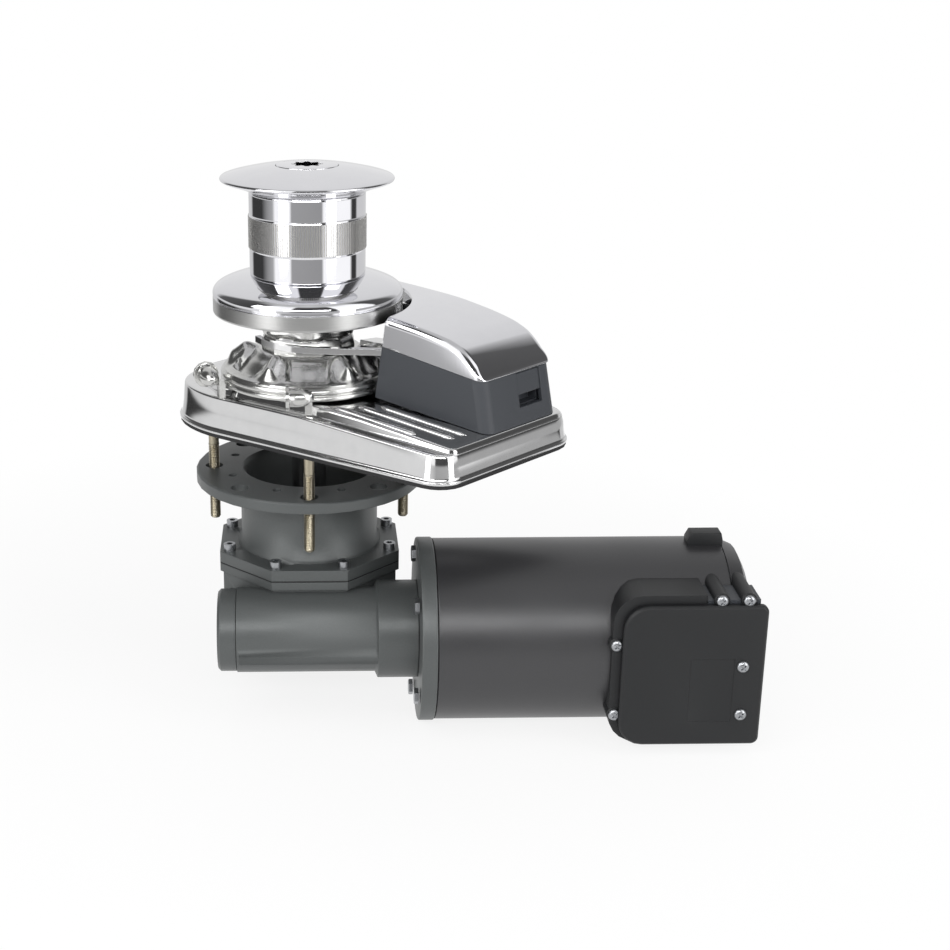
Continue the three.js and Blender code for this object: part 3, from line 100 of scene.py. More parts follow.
def finish(
    name, colour, shade, rough, grain, relief,
    metallic=1.0, level=0.5, stretch=(1, 1, 1), spread=0.04, edge=0.5,
):
    """A surface whose tone, from colour to shade, and relief vary with a grain.

    The grain's size and the relief's depth are in millimetres. stretch draws the grain out along
    an axis. The roughness varies by spread over patches of PATCH millimetres. edge is the rounding
    that the light finds on edges, and level is the strength of the plain specular reflection.
    """
    material = bpy.data.materials.new(name)
    material.use_nodes = True
    tree = material.node_tree
    shader = tree.nodes["Principled BSDF"]
    shader.inputs["Metallic"].default_value = metallic
    shader.inputs["Specular IOR Level"].default_value = level
    place = add_node(tree, "ShaderNodeTexCoord")
    mapping = add_node(
        tree,
        "ShaderNodeMapping",
        sockets={"Scale": stretch},
        links={"Vector": place.outputs["Object"]},
    )
    noise = add_node(
        tree,
        "ShaderNodeTexNoise",
        sockets={"Scale": 1 / (grain * MM), "Detail": 4.0, "Roughness": 0.6},
        links={"Vector": mapping.outputs["Vector"]},
    )
    broad = add_node(
        tree,
        "ShaderNodeTexNoise",
        sockets={"Scale": 1 / (PATCH * MM), "Detail": 2.0},
        links={"Vector": place.outputs["Object"]},
    )
    tone = add_node(
        tree,
        "ShaderNodeMix",
        settings={"data_type": "RGBA"},
        sockets={6: linear(colour), 7: linear(shade)},
        links={0: noise.outputs["Fac"]},
    )
    gloss = add_node(
        tree,
        "ShaderNodeMapRange",
        sockets={"To Min": max(rough - spread, 0.02), "To Max": rough + spread},
        links={"Value": broad.outputs["Fac"]},
    )
    rounding = add_node(
        tree,
        "ShaderNodeBevel",
        settings={"samples": 4},
        sockets={"Radius": edge * MM},
    )
    bump = add_node(
        tree,
        "ShaderNodeBump",
        sockets={"Strength": 1.0, "Distance": relief * MM},
        links={"Height": noise.outputs["Fac"], "Normal": rounding.outputs["Normal"]},
    )
    tree.links.new(tone.outputs[2], shader.inputs["Base Color"])
    tree.links.new(gloss.outputs["Result"], shader.inputs["Roughness"])
    tree.links.new(bump.outputs["Normal"], shader.inputs["Normal"])
    return material


# Chromed and hand polished: a near mirror with a faint haze.
mirror_chrome = finish(
    "mirror chrome", "#e3e3e6", "#dcdce0", rough=0.05, grain=14, relief=0.004,
    spread=0.02, edge=0.4,
)
# Stainless sheet polished to a mirror: a little softer and warmer than chrome.
polished_stainless = finish(
    "polished stainless", "#dedede", "#d3d3d4", rough=0.09, grain=10, relief=0.006,
    spread=0.03, edge=0.5,
)
# Cast stainless, tumbled bright: fine waves are left from the mould.
bright_casting = finish(
    "tumbled bright casting", "#d2d2d0", "#b9b9b7", rough=0.2, grain=5, relief=0.05,
    spread=0.05, edge=0.6,
)
# Turned on a lathe and left satin: fine lines run round the wall.
turned_satin = finish(
    "turned satin stainless", "#c0c0bf", "#aeaead", rough=0.3, grain=0.6, relief=0.012,
    stretch=(0.05, 0.05, 1), spread=0.05, edge=0.3,
)
# Rolled knurl: sharp ridges that break the light up.
knurled_steel = finish(
    "knurled stainless", "#c9c8c6", "#a9a8a5", rough=0.28, grain=0.8, relief=0.03,
    spread=0.06, edge=0.1,
)
# Drawn stainless bar with a cut thread, a little yellow from the drawing oil.
drawn_stainless = finish(
    "drawn stainless", "#b9b29f", "#9c9482", rough=0.32, grain=1.2, relief=0.02,
    spread=0.08, edge=0.15,
)
# Zinc plated steel of bolts and pins: pale, slightly blotched.
zinc_plate = finish(
    "zinc plated steel", "#b3b5b8", "#8f9194", rough=0.3, grain=1.6, relief=0.01,
    spread=0.1, edge=0.2,
)
# Machined steel of shafts and bearings.
machined_steel = finish(
    "machined steel", "#a5a7a9", "#8b8d90", rough=0.28, grain=0.8, relief=0.01,
    stretch=(1, 1, 0.2), edge=0.2,
)
# Grey enamel on a fine sand casting: orange peel over small pits.
grey_enamel = finish(
    "grey enamel on casting", "#565959", "#4b4e4e", rough=0.42, grain=1.1, relief=0.05,
    metallic=0.3, spread=0.06, edge=0.8, level=0.6,
)
# Black satin powder coat on the drawn motor shell.
black_powder_coat = finish(
    "black powder coat", "#363638", "#2d2d2f", rough=0.38, grain=0.9, relief=0.03,
    metallic=0.35, spread=0.05, edge=0.8, level=1.0,
)
# Black moulded plastic of the terminal box: rougher and flatter than the coat.
black_moulding = finish(
    "black moulded cover", "#1c1d1f", "#161718", rough=0.5, grain=0.8, relief=0.03,
    metallic=0.05, spread=0.05, edge=1.0, level=0.4,
)
# Glass-filled nylon in blue grey, lightly textured by the mould.
grey_nylon = finish(
    "blue grey nylon", "#36393e", "#2f3237", rough=0.48, grain=0.7, relief=0.03,
    metallic=0.0, spread=0.05, edge=0.8,
)
# Nitrile sheet and lip seals: dull black.
nitrile = finish(
    "black nitrile", "#1d1d1e", "#151516", rough=0.75, grain=0.9, relief=0.04,
    metallic=0.0, spread=0.08, edge=0.2,
)
# Gunmetal bronze, machined.
gunmetal = finish(
    "machined gunmetal", "#b08952", "#94703f", rough=0.34, grain=1.0, relief=0.012,
    stretch=(1, 1, 0.2), edge=0.2,
)
# Enamelled copper windings, wound close.
enamelled_copper = finish(
    "enamelled copper", "#a85f38", "#8a4a29", rough=0.32, grain=1.2, relief=0.1,
    metallic=0.9, stretch=(0.2, 0.2, 1), edge=0.2,
)
# Pressed ferrite and carbon: grey black and powdery.
pressed_ferrite = finish(
    "pressed ferrite", "#393a3d", "#2b2c2f", rough=0.8, grain=1.5, relief=0.05,
    metallic=0.0, edge=0.3,
)
# Socket and slot floors: dark steel that paints the shade falling deep in them.
painted_shade_steel = finish(
    "steel with painted socket shade", "#1f1f20", "#161617", rough=0.5, grain=1.0, relief=0.02,
    metallic=0.8, edge=0.1,
)

NODE_FINISH = {
    "rubber": nitrile,
    "polished": polished_stainless,
    "chrome": mirror_chrome,
    "stainless": drawn_stainless,
    "plastic": grey_nylon,
    "steel": machined_steel,
    "bronze": gunmetal,
    "casting": grey_enamel,
    "blackPaint": black_powder_coat,
    "copper": enamelled_copper,
    "ferrite": pressed_ferrite,
}

# Mesh helpers


def smoothed(mesh, angle=32):
    """Smooth shading with sharp edges past that angle in degrees."""
    mesh.shade_smooth()
    mesh.set_sharp_from_angle(angle=math.radians(angle))
    return mesh


def add_object(name, data):
    """An object with that data, linked to the scene."""
    made = bpy.data.objects.new(name, data)
    bpy.context.scene.collection.objects.link(made)
    return made


def shown_mesh(item):
    """A plain mesh of what the object's modifiers make of it."""
    bpy.context.view_layer.update()
    shown = item.evaluated_get(bpy.context.evaluated_depsgraph_get())
    return bpy.data.meshes.new_from_object(shown)


def add_piece(name, mesh, material, node, replaced=()):
    """A piece that rides where the node rides and stands for the replaced nodes."""
    mesh.name = name
    mesh.materials.clear()
    mesh.materials.append(material)
    piece = add_object(name, mesh)
    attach(piece, BODY_OF[node])
    if replaced:
        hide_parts(*replaced)
    return piece


def built_mesh(verts, faces, matrix=UNTURNED):
    """A mesh from points in millimetres and faces, with its normals turned outwards."""
    mesh = bpy.data.meshes.new("built")
    mesh.from_pydata([matrix @ (Vector(v) * MM) for v in verts], [], faces)
    work = bmesh.new()
    work.from_mesh(mesh)
    bmesh.ops.remove_doubles(work, verts=work.verts, dist=1e-7)
    bmesh.ops.recalc_face_normals(work, faces=work.faces)
    work.to_mesh(mesh)
    work.free()
    return mesh


def skin(rings, closed_ends=True):
    """Points and faces of a skin over rings of points, closed with a face at each end."""
    count = len(rings[0])
    verts = [point for ring in rings for point in ring]
    faces = []
    for r in range(len(rings) - 1):
        for i in range(count):
            j = (i + 1) % count
            faces.append([r * count + i, r * count + j, (r + 1) * count + j, (r + 1) * count + i])
    if closed_ends:
        faces.append(list(range(count))[::-1])
        faces.append(list(range((len(rings) - 1) * count, len(rings) * count)))
    return verts, faces


def circle(radius, z, count, centre=(0.0, 0.0)):
    """Points round a level circle."""
    cx, cy = centre
    angles = [2 * math.pi * i / count for i in range(count)]
    return [(cx + radius * math.cos(a), cy + radius * math.sin(a), z) for a in angles]


def rectangle(x0, x1, y0, y1, z):
    """The corners of a level rectangle."""
    return [(x0, y0, z), (x1, y0, z), (x1, y1, z), (x0, y1, z)]


def turned(profile, steps=128, matrix=UNTURNED, along="Z", centre=(0, 0, 0)):
    """A lathe shape from [radius, height] pairs, about Z or about an axis along X."""
    cx, cy, cz = centre
    rings = []
    for i in range(steps):
        angle = 2 * math.pi * i / steps
        cos, sin = math.cos(angle), math.sin(angle)
        if along == "Z":
            rings.append([(cx + r * cos, cy + r * sin, cz + h) for r, h in profile])
        else:
            rings.append([(cx + h, cy + r * cos, cz + r * sin) for r, h in profile])
    count = len(profile)
    verts = [point for ring in rings for point in ring]
    faces = []
    for s in range(steps):
        t = (s + 1) % steps
        for i in range(count - 1):
            faces.append([s * count + i, s * count + i + 1, t * count + i + 1, t * count + i])
    return smoothed(built_mesh(verts, faces, matrix))


def arc(centre_r, centre_h, radius, start, end, count=8):
    """Profile points along an arc, with its angles in degrees."""
    angles = [math.radians(start + (end - start) * i / count) for i in range(count + 1)]
    return [(centre_r + radius * math.cos(a), centre_h + radius * math.sin(a)) for a in angles]


def between(p0, p1, p2, p3, t):
    """The point at share t of the way from p1 to p2 on a smooth line through all four."""
    return tuple(
        0.5
        * (
            2 * b
            + (c - a) * t
            + (2 * a - 5 * b + 4 * c - d) * t**2
            + (3 * b - a - 3 * c + d) * t**3
        )
        for a, b, c, d in zip(p0, p1, p2, p3)
    )


def curve(points, steps=4):
    """Profile points along a smooth line through the given ones."""
    line = [points[0]]
    for i in range(len(points) - 1):
        p0 = points[max(i - 1, 0)]
        p1, p2 = points[i], points[i + 1]
        p3 = points[min(i + 2, len(points) - 1)]
        line += [between(p0, p1, p2, p3, step / steps) for step in range(1, steps + 1)]
    return line


def refined(node, angle=32):
    """A merged, smoothed copy of a CAD node's mesh."""
    mesh = NODES[node].data.copy()
    work = bmesh.new()
    work.from_mesh(mesh)
    bmesh.ops.remove_doubles(work, verts=work.verts, dist=1e-6)
    bmesh.ops.dissolve_limit(
        work, angle_limit=math.radians(0.4), verts=work.verts, edges=work.edges
    )
    work.to_mesh(mesh)
    work.free()
    return smoothed(mesh, angle)


def applied(mesh, cutters=(), bevel=0.0, segments=3, angle=40):
    """The mesh with solid cutters taken out of it and its edges rounded by bevel millimetres."""
    work = add_object("work", mesh)
    tools = [add_object("tool", cutter) for cutter in cutters]
    for tool in tools:
        step = work.modifiers.new("cut", "BOOLEAN")
        step.operation = "DIFFERENCE"
        step.solver = "EXACT"
        step.object = tool
    if bevel:
        step = work.modifiers.new("round", "BEVEL")
        step.width = bevel * MM
        step.segments = segments
        step.limit_method = "ANGLE"
        step.angle_limit = math.radians(angle)
    result = shown_mesh(work)
    for helper in [work, *tools]:
        bpy.data.objects.remove(helper)
    return smoothed(result)


# Repeats, made with Geometry Nodes


def node_tree(name, inputs):
    """An empty Geometry Nodes tree with these named number inputs, and its two end nodes."""
    tree = bpy.data.node_groups.new(name, "GeometryNodeTree")
    tree.interface.new_socket("Geometry", in_out="INPUT", socket_type="NodeSocketGeometry")
    for label, kind in inputs.items():
        tree.interface.new_socket(label, in_out="INPUT", socket_type=kind)
    tree.interface.new_socket("Geometry", in_out="OUTPUT", socket_type="NodeSocketGeometry")
    return tree, tree.nodes.new("NodeGroupInput"), tree.nodes.new("NodeGroupOutput")


def end_tree(tree, instances, material, output):
    """Realizes the instances, gives them the material and leads them out."""
    real = add_node(tree, "GeometryNodeRealizeInstances", links={"Geometry": instances})
    painted = add_node(
        tree,
        "GeometryNodeSetMaterial",
        sockets={"Material": material},
        links={"Geometry": real.outputs["Geometry"]},
    )
    tree.links.new(painted.outputs["Geometry"], output.inputs["Geometry"])


def grown(tree, values, base_mesh):
    """The plain mesh that the tree makes with these input values."""
    carrier = add_object("carrier", base_mesh)
    modifier = carrier.modifiers.new("grow", "NODES")
    modifier.node_group = tree
    for item in tree.interface.items_tree:
        if item.in_out == "INPUT" and item.name in values:
            modifier[item.identifier] = values[item.name]
    mesh = shown_mesh(carrier)
    carrier.modifiers.remove(modifier)
    bpy.data.objects.remove(carrier)
    return mesh


RIB_LENGTHS = ("Radius", "Level", "Depth", "Width", "Height")


def rib_ring_tree(material):
    """Upright ribs set round a circle."""
    sizes = {"Count": "NodeSocketInt"} | dict.fromkeys(RIB_LENGTHS, "NodeSocketFloat")
    tree, given, output = node_tree("rib ring", sizes)
    around = add_node(
        tree,
        "GeometryNodeMeshCircle",
        links={"Vertices": given.outputs["Count"], "Radius": given.outputs["Radius"]},
    )
    size = add_node(
        tree,
        "ShaderNodeCombineXYZ",
        links={
            "X": given.outputs["Depth"],
            "Y": given.outputs["Width"],
            "Z": given.outputs["Height"],
        },
    )
    block = add_node(tree, "GeometryNodeMeshCube", links={"Size": size.outputs["Vector"]})
    lift = add_node(tree, "ShaderNodeCombineXYZ", links={"Z": given.outputs["Level"]})
    placed = add_node(
        tree,
        "GeometryNodeTransform",
        links={"Geometry": block.outputs["Mesh"], "Translation": lift.outputs["Vector"]},
    )
    position = add_node(tree, "GeometryNodeInputPosition")
    aim = add_node(
        tree,
        "FunctionNodeAlignRotationToVector",
        settings={"axis": "X", "pivot_axis": "Z"},
        links={"Vector": position.outputs["Position"]},
    )
    ribs = add_node(
        tree,
        "GeometryNodeInstanceOnPoints",
        links={
            "Points": around.outputs["Mesh"],
            "Instance": placed.outputs["Geometry"],
            "Rotation": aim.outputs["Rotation"],
        },
    )
    end_tree(tree, ribs.outputs["Instances"], material, output)
    return tree


def rib_ring(material, count, *lengths):
    """Ribs round the Z axis, with the RIB_LENGTHS in millimetres."""
    values = {"Count": count} | {name: size * MM for name, size in zip(RIB_LENGTHS, lengths)}
    return grown(rib_ring_tree(material), values, bpy.data.meshes.new("seed"))


def planted_tree(template, material):
    """Copies of a template on points, each with its +Z along the point's own aim."""
    tree, given, output = node_tree("planted fasteners", {"Size": "NodeSocketFloat"})
    info = add_node(tree, "GeometryNodeObjectInfo", sockets={"Object": template})
    aim = add_node(
        tree,
        "GeometryNodeInputNamedAttribute",
        settings={"data_type": "FLOAT_VECTOR"},
        sockets={"Name": "aim"},
    )
    rotation = add_node(
        tree,
        "FunctionNodeAlignRotationToVector",
        settings={"axis": "Z"},
        links={"Vector": aim.outputs["Attribute"]},
    )
    copies = add_node(
        tree,
        "GeometryNodeInstanceOnPoints",
        links={
            "Points": given.outputs["Geometry"],
            "Instance": info.outputs["Geometry"],
            "Rotation": rotation.outputs["Rotation"],
            "Scale": given.outputs["Size"],
        },
    )
    end_tree(tree, copies.outputs["Instances"], material, output)
    return tree


def planted(template_mesh, material, places, matrix=GEARMOTOR, size=1.0):
    """The template at each (point in millimetres, direction)."""
    template = add_object("template", template_mesh)
    seed = bpy.data.meshes.new("places")
    seed.from_pydata([matrix @ (Vector(point) * MM) for point, _ in places], [], [])
    aims = seed.attributes.new("aim", "FLOAT_VECTOR", "POINT")
    for i, (_, direction) in enumerate(places):
        aims.data[i].vector = matrix.to_3x3() @ Vector(direction)
    mesh = grown(planted_tree(template, material), {"Size": size}, seed)
    bpy.data.objects.remove(template)
    return smoothed(mesh)


# Drum, cap and clutch disc

# Profiles are [radius, height] pairs in millimetres.
DRUM_RADIUS = 40.6
BAND_LOW, BAND_HIGH, BAND_RADIUS = 131.4, 154.3, 40.9
DRUM_BOTTOM, DRUM_TOP = 113.7, 170.9
BAND_MIDDLE = (BAND_LOW + BAND_HIGH) / 2
KNURL_RIBS = 150
KNURL_DEPTH, KNURL_WIDTH, KNURL_HEIGHT = 0.7, 0.95, 22.0
BORE = 12.9

drum_profile = [
    (BORE, DRUM_BOTTOM), (38.6, DRUM_BOTTOM), (39.2, 112.9), (39.8, 112.6), (40.3, 112.8),
    (DRUM_RADIUS, 113.3), (DRUM_RADIUS, 114.0), (DRUM_RADIUS, BAND_LOW - 1.4),
    (DRUM_RADIUS, BAND_LOW - 0.9), (BAND_RADIUS - 0.1, BAND_LOW),
    (BAND_RADIUS, BAND_LOW + 0.3), (BAND_RADIUS, BAND_LOW + 0.8),
    (BAND_RADIUS, BAND_HIGH - 0.8), (BAND_RADIUS, BAND_HIGH - 0.3),
    (BAND_RADIUS - 0.1, BAND_HIGH), (DRUM_RADIUS, BAND_HIGH + 0.9),
    (DRUM_RADIUS, BAND_HIGH + 1.4), (DRUM_RADIUS, DRUM_TOP - 1.8),
    (DRUM_RADIUS, DRUM_TOP - 1.1), (DRUM_RADIUS - 0.5, DRUM_TOP - 0.2),
    (DRUM_RADIUS - 1.0, DRUM_TOP), (BORE, DRUM_TOP), (BORE, DRUM_BOTTOM),
]
add_piece("drum_barrel", turned(drum_profile, 160), mirror_chrome, "drum", ["drum"])
knurl_sizes = (BAND_RADIUS, BAND_MIDDLE, KNURL_DEPTH, KNURL_WIDTH, KNURL_HEIGHT)
knurl_mesh = rib_ring(knurled_steel, KNURL_RIBS, *knurl_sizes)
add_piece("drum_knurl", knurl_mesh, knurled_steel, "drum")

CAP_RADIUS = 60.5
CAP_BOTTOM = 171.2
CAP_BORE = 16.0
NUT_SEAT = 174.9
NUT_WELL = 21.8
NUT_RADIUS = 21.5
CAP_UNDERSIDE = [
    (41.9, 171.4), (43.2, 172.2), (46.0, 173.5), (51.0, 175.4), (56.5, 177.2), (59.3, 178.1),
]
CAP_DOME = [
    (59.6, 180.6), (56.0, 181.8), (50.0, 183.3), (42.0, 185.1), (33.0, 186.7), (26.0, 187.7),
    (22.2, 188.1),
]
cap_profile = [
    (CAP_BORE, CAP_BOTTOM),
    (DRUM_RADIUS, CAP_BOTTOM),
    *curve(CAP_UNDERSIDE),
    (60.2, 178.6), (CAP_RADIUS, 179.3), (60.2, 180.1),
    *curve(CAP_DOME),
    (NUT_WELL, 187.9), (NUT_WELL, NUT_SEAT), (CAP_BORE, NUT_SEAT), (CAP_BORE, CAP_BOTTOM),
]
add_piece("cap_dome", turned(cap_profile, 192), mirror_chrome, "drum_cap", ["drum_cap"])


def socket_star(points, outer, inner, low, high, tip=0.28):
    """A prism with a star outline for the spline socket; tip is half a tip's width in steps."""
    outline = []
    for i in range(points * 2):
        radius = inner if i % 2 else outer
        for lean in (-tip, tip):
            angle = math.pi * (i + lean) / points
            outline.append((radius * math.cos(angle), radius * math.sin(angle)))
    return built_mesh(*skin([[(x, y, z) for x, y in outline] for z in (low, high)]))


nut_profile = [
    (0.0, 171.9), (15.7, 171.9), (15.7, 175.2), (NUT_RADIUS, 175.2), (NUT_RADIUS, 187.9),
    *arc(NUT_RADIUS - 0.6, 187.9, 0.6, 0, 90, 3),
    (12.0, 188.75), (0.0, 188.8),
]
socket = socket_star(points=8, outer=11.0, inner=8.4, low=176.8, high=196.6)
nut_mesh = applied(turned(nut_profile, 96), [socket])
add_piece("clutch_nut_face", nut_mesh, mirror_chrome, "clutch_nut", ["clutch_nut"])
# A thin dark disc laid on the socket's floor: painted shade for the deep star socket.
add_piece(
    "socket_floor",
    turned([(0.0, 176.85), (11.2, 176.85), (11.2, 177.1), (0.0, 177.1)], 32),
    painted_shade_steel,
    "clutch_nut",
)

DISC_RADIUS = 67.0
DISC_BOTTOM = 86.0
WALL_TOP = 96.8
WALL_INSIDE = 65.6
DISC_DOME = [
    (DISC_RADIUS, 100.5), (66.5, 102.2), (65.0, 104.2), (62.5, 105.9), (58.5, 107.7),
    (53.0, 109.6), (46.0, 111.4), (38.0, 112.8), (30.0, 113.35),
]
disc_profile = [
    (BORE, DISC_BOTTOM), (WALL_INSIDE, DISC_BOTTOM), (66.6, 86.4), (DISC_RADIUS, 87.2),
    (DISC_RADIUS, 87.8), (DISC_RADIUS, 96.0), (DISC_RADIUS, 96.6), (66.7, 96.9), (66.2, 97.0),
    (66.2, 97.5), (66.7, 97.6), (DISC_RADIUS, 97.9),
    *curve(DISC_DOME),
    (BORE, 113.4), (BORE, DISC_BOTTOM),
]
disc_mesh = turned(disc_profile, 192)
add_piece("clutch_disc_dome", disc_mesh, mirror_chrome, "clutch_disc", ["clutch_disc"])
# The disc's wall is left satin under its groove.
disc_mesh.materials.append(turned_satin)
for face in disc_mesh.polygons:
    if face.center.z < WALL_TOP * MM and face.center.xy.length > WALL_INSIDE * MM:
        face.material_index = 1

# Gypsy

GYPSY_POCKETS = 6
POCKET_TURN = math.radians(315)
POCKET_DEPTH = 4.5
HORN_HEIGHT = 8.2
HORN_SPREAD = 6.2
POCKET_RIM = 1.4
CONE_TOP, CONE_FALL = 60.5, 14.0
HUB_RADIUS = 33.0
HUB_BORE = 28.0
HUB_LOW, HUB_HIGH = 58.0, 85.4
RIM_RADIUS = 62.5
GYPSY_AROUND = GYPSY_POCKETS * 32
GYPSY_ANGLES = [2 * math.pi * i / GYPSY_AROUND for i in range(GYPSY_AROUND)]


def eased(value, low, high):
    """0 below low, 1 above high and a smooth run between."""
    share = min(max((value - low) / (high - low), 0.0), 1.0)
    return share * share * (3 - 2 * share)


def bell(value, middle, spread):
    """1 at the middle, falling to 0 on both sides."""
    return math.exp(-(((value - middle) / spread) ** 2))


def gypsy_height(radius, angle):
    """The upper face of the gypsy: a cone with a flat pocket and a round horn for each step."""
    level = CONE_TOP - CONE_FALL * eased(radius, 34.0, 61.0)
    step = 2 * math.pi / GYPSY_POCKETS
    in_step = (angle - POCKET_TURN + step / 2) % step - step / 2
    across = abs(in_step) * radius
    pocket = 1 - eased(across, 12.5, 17.0)
    pocket *= eased(radius, 36.0, 41.0)
    pocket *= 1 - eased(radius, 52.0, 56.5)
    horn = bell((step / 2 - abs(in_step)) * radius, 0.0, HORN_SPREAD)
    horn *= 1 - eased(radius, 54.0, 60.0)
    horn *= eased(radius, 34.0, 47.0)
    side_rim = bell(across, 15.6, 1.5)
    side_rim *= eased(radius, 42.0, 48.0)
    side_rim *= 1 - eased(radius, 53.0, 56.0)
    end_rim = bell(radius, 55.0, 1.4) * (1 - eased(across, 14.6, 17.2))
    deepening = 0.6 + 0.4 * eased(radius, 40, 50)
    level -= POCKET_DEPTH * pocket * deepening
    return level + HORN_HEIGHT * horn + POCKET_RIM * max(side_rim, end_rim)


def gypsy_rings():
    """Rings from the rim's bottom up over the pockets to the hub."""
    rim = [
        (HUB_BORE, 36.0), (60.6, 36.0), (61.8, 36.4), (62.4, 37.4), (RIM_RADIUS, 38.4),
        (62.1, 39.3), (61.2, 39.9), (61.0, 40.3), (61.2, 40.7), (62.1, 41.2),
        (RIM_RADIUS, 42.2), (62.3, 43.6), (61.6, 44.5), (60.8, 45.3),
    ]
    rings = [circle(radius, z, GYPSY_AROUND) for radius, z in rim]
    start = 60.2
    steps = 22
    for i in range(steps + 1):
        radius = start - (start - HUB_RADIUS) * i / steps
        rings.append(
            [
                (radius * math.cos(a), radius * math.sin(a), gypsy_height(radius, a))
                for a in GYPSY_ANGLES
            ]
        )
    return rings


def facet_radius(angle):
    """The hub's twelve flat facets."""
    step = math.pi / 6
    in_step = (angle - POCKET_TURN + step / 2) % step - step / 2
    return HUB_RADIUS * math.cos(step / 2) / math.cos(in_step) + 0.5


def lobed_radius(angle):
    """The upper ring's lobes, one over each pocket."""
    return 33.2 + 1.8 * math.cos(GYPSY_POCKETS * (angle - POCKET_TURN))


def hub_rings():
    """Rings up the hub: its facets, a groove and the lobed ring, between two rings at its bore."""
    levels = [
        (HUB_LOW, facet_radius, 0.4),
        (64.5, facet_radius, 0.2),
        (69.8, facet_radius, -1.6),
        (70.4, facet_radius, -2.0),
        (71.4, lobed_radius, -1.6),
        (72.8, lobed_radius, -0.3),
        (73.8, lobed_radius, 0.0),
        (80.0, lobed_radius, 0.0),
        (84.6, lobed_radius, -0.2),
        (HUB_HIGH, lobed_radius, -1.0),
    ]
    rings = [circle(HUB_BORE, HUB_LOW, GYPSY_AROUND)]
    for z, shape, grow in levels:
        sizes = [(shape(a) + grow, a) for a in GYPSY_ANGLES]
        rings.append([(radius * math.cos(a), radius * math.sin(a), z) for radius, a in sizes])
    rings.append(circle(HUB_BORE, HUB_HIGH, GYPSY_AROUND))
    return rings


def ring_mesh(rings, angle):
    """A mesh over rings that close on the first one."""
    return smoothed(built_mesh(*skin(rings + rings[:1], False)), angle)


gypsy_face = ring_mesh(gypsy_rings(), 40)
add_piece("gypsy_whelps", gypsy_face, bright_casting, "gypsy", ["gypsy"])
add_piece("gypsy_hub", ring_mesh(hub_rings(), 24), bright_casting, "gypsy")

# Deck plate

PLATE_TAPER = math.radians(7.2)
PLATE_NOSE, PLATE_TAIL, PLATE_FAR = -97.5, 165.2, 106.0
PLATE_BOTTOM = 2.6
BORDER_TOP, BORDER_BEND, BORDER_FALL = 28.8, 40.0, 0.06
PLATFORM_TOP, PLATFORM_BEND, PLATFORM_FALL = 34.8, 64.5, 0.105
BEND_HALF = 10
PLATFORM_INSET = 13.5
SIDE_SHARES = (0.2, 0.4, 0.6, 0.8)


def near_line(x):
    """The plate's near side, which runs in towards the tail."""
    return x * math.tan(PLATE_TAPER) - 63.0


# Corners of the plate: x, y and the radius of the rounding.
PLATE_CORNERS = [
    (PLATE_NOSE, -48.5, 48.0),
    (-47.0, near_line(-47.0), 84.0),
    (PLATE_TAIL, near_line(PLATE_TAIL), 20.0),
    (PLATE_TAIL, PLATE_FAR, 26.0),
    (-5.0, PLATE_FAR, 80.0),
    (PLATE_NOSE, 20.0, 36.0),
]


def rounded_outline(corners, inset, steps=20):
    """A polygon with rounded corners, drawn in by the inset, with points on its sides too."""
    points = []
    for i, (x, y, radius) in enumerate(corners):
        bx, by, _ = corners[i - 1]
        ax, ay, _ = corners[(i + 1) % len(corners)]
        first = math.atan2(y - by, x - bx) - math.pi / 2
        last = math.atan2(ay - y, ax - x) - math.pi / 2
        while last < first:
            last += 2 * math.pi
        half = (last - first) / 2
        rounding = max(radius - inset, 0.3)
        reach = (inset + rounding) / math.cos(half)
        cx = x - reach * math.cos(first + half)
        cy = y - reach * math.sin(first + half)
        for step in range(steps + 1):
            angle = first + 2 * half * step / steps
            points.append((cx + rounding * math.cos(angle), cy + rounding * math.sin(angle)))
    full = []
    for i, (x, y) in enumerate(points):
        nx, ny = points[(i + 1) % len(points)]
        full.append((x, y))
        if i % (steps + 1) == steps:
            for share in SIDE_SHARES:
                full.append((x + (nx - x) * share, y + (ny - y) * share))
    return full


def border_at(x):
    """The top of the border round the platform."""
    return BORDER_TOP - max(0.0, x - BORDER_BEND) * BORDER_FALL


def platform_at(x):
    """The platform's top, with its bend eased over 20 mm."""
    past = x - PLATFORM_BEND
    if past < -BEND_HALF:
        return PLATFORM_TOP
    if past < BEND_HALF:
        return PLATFORM_TOP - PLATFORM_FALL * (past + BEND_HALF) ** 2 / (4 * BEND_HALF)
    return PLATFORM_TOP - PLATFORM_FALL * past


PLATFORM_CORNERS = [
    (
        x - 5.0 if x > 0 else x + PLATFORM_INSET,
        y - math.copysign(PLATFORM_INSET, y),
        (radius - PLATFORM_INSET) * 0.9,
    )
    for x, y, radius in PLATE_CORNERS
]

# The plate's skin in rings, each with its inset: first with heights, then with heights over the
# border's top, then with shares of the step up to the platform.
plate_rings = []
lip_rings = [
    (1.6, PLATE_BOTTOM), (0.4, PLATE_BOTTOM), (0.0, 3.0), (0.0, 4.4), (0.3, 4.9), (0.9, 5.3),
    (1.5, 6.0),
]
wall_rings = [(1.7, 7.2), (2.1, 9.5), (2.6, 13.0), (3.1, 17.0)]
for inset, z in lip_rings + wall_rings:
    plate_rings.append([(x, y, z) for x, y in rounded_outline(PLATE_CORNERS, inset)])
top_rings = [(4.1, -1.6), (4.3, -0.8), (4.7, -0.25), (5.5, 0.0), (7.1, 0.1)]
for inset, rise in top_rings:
    outline = rounded_outline(PLATE_CORNERS, inset)
    plate_rings.append([(x, y, border_at(x) + rise) for x, y in outline])
step_rings = [(-1.6, 0.0), (-0.6, 0.06), (-0.1, 0.3), (0.4, 0.7), (1.0, 0.92), (2.0, 1.0)]
for inset, share in step_rings:
    plate_rings.append(
        [
            (x, y, border_at(x) + (platform_at(x) - border_at(x)) * share)
            for x, y in rounded_outline(PLATFORM_CORNERS, inset)
        ]
    )
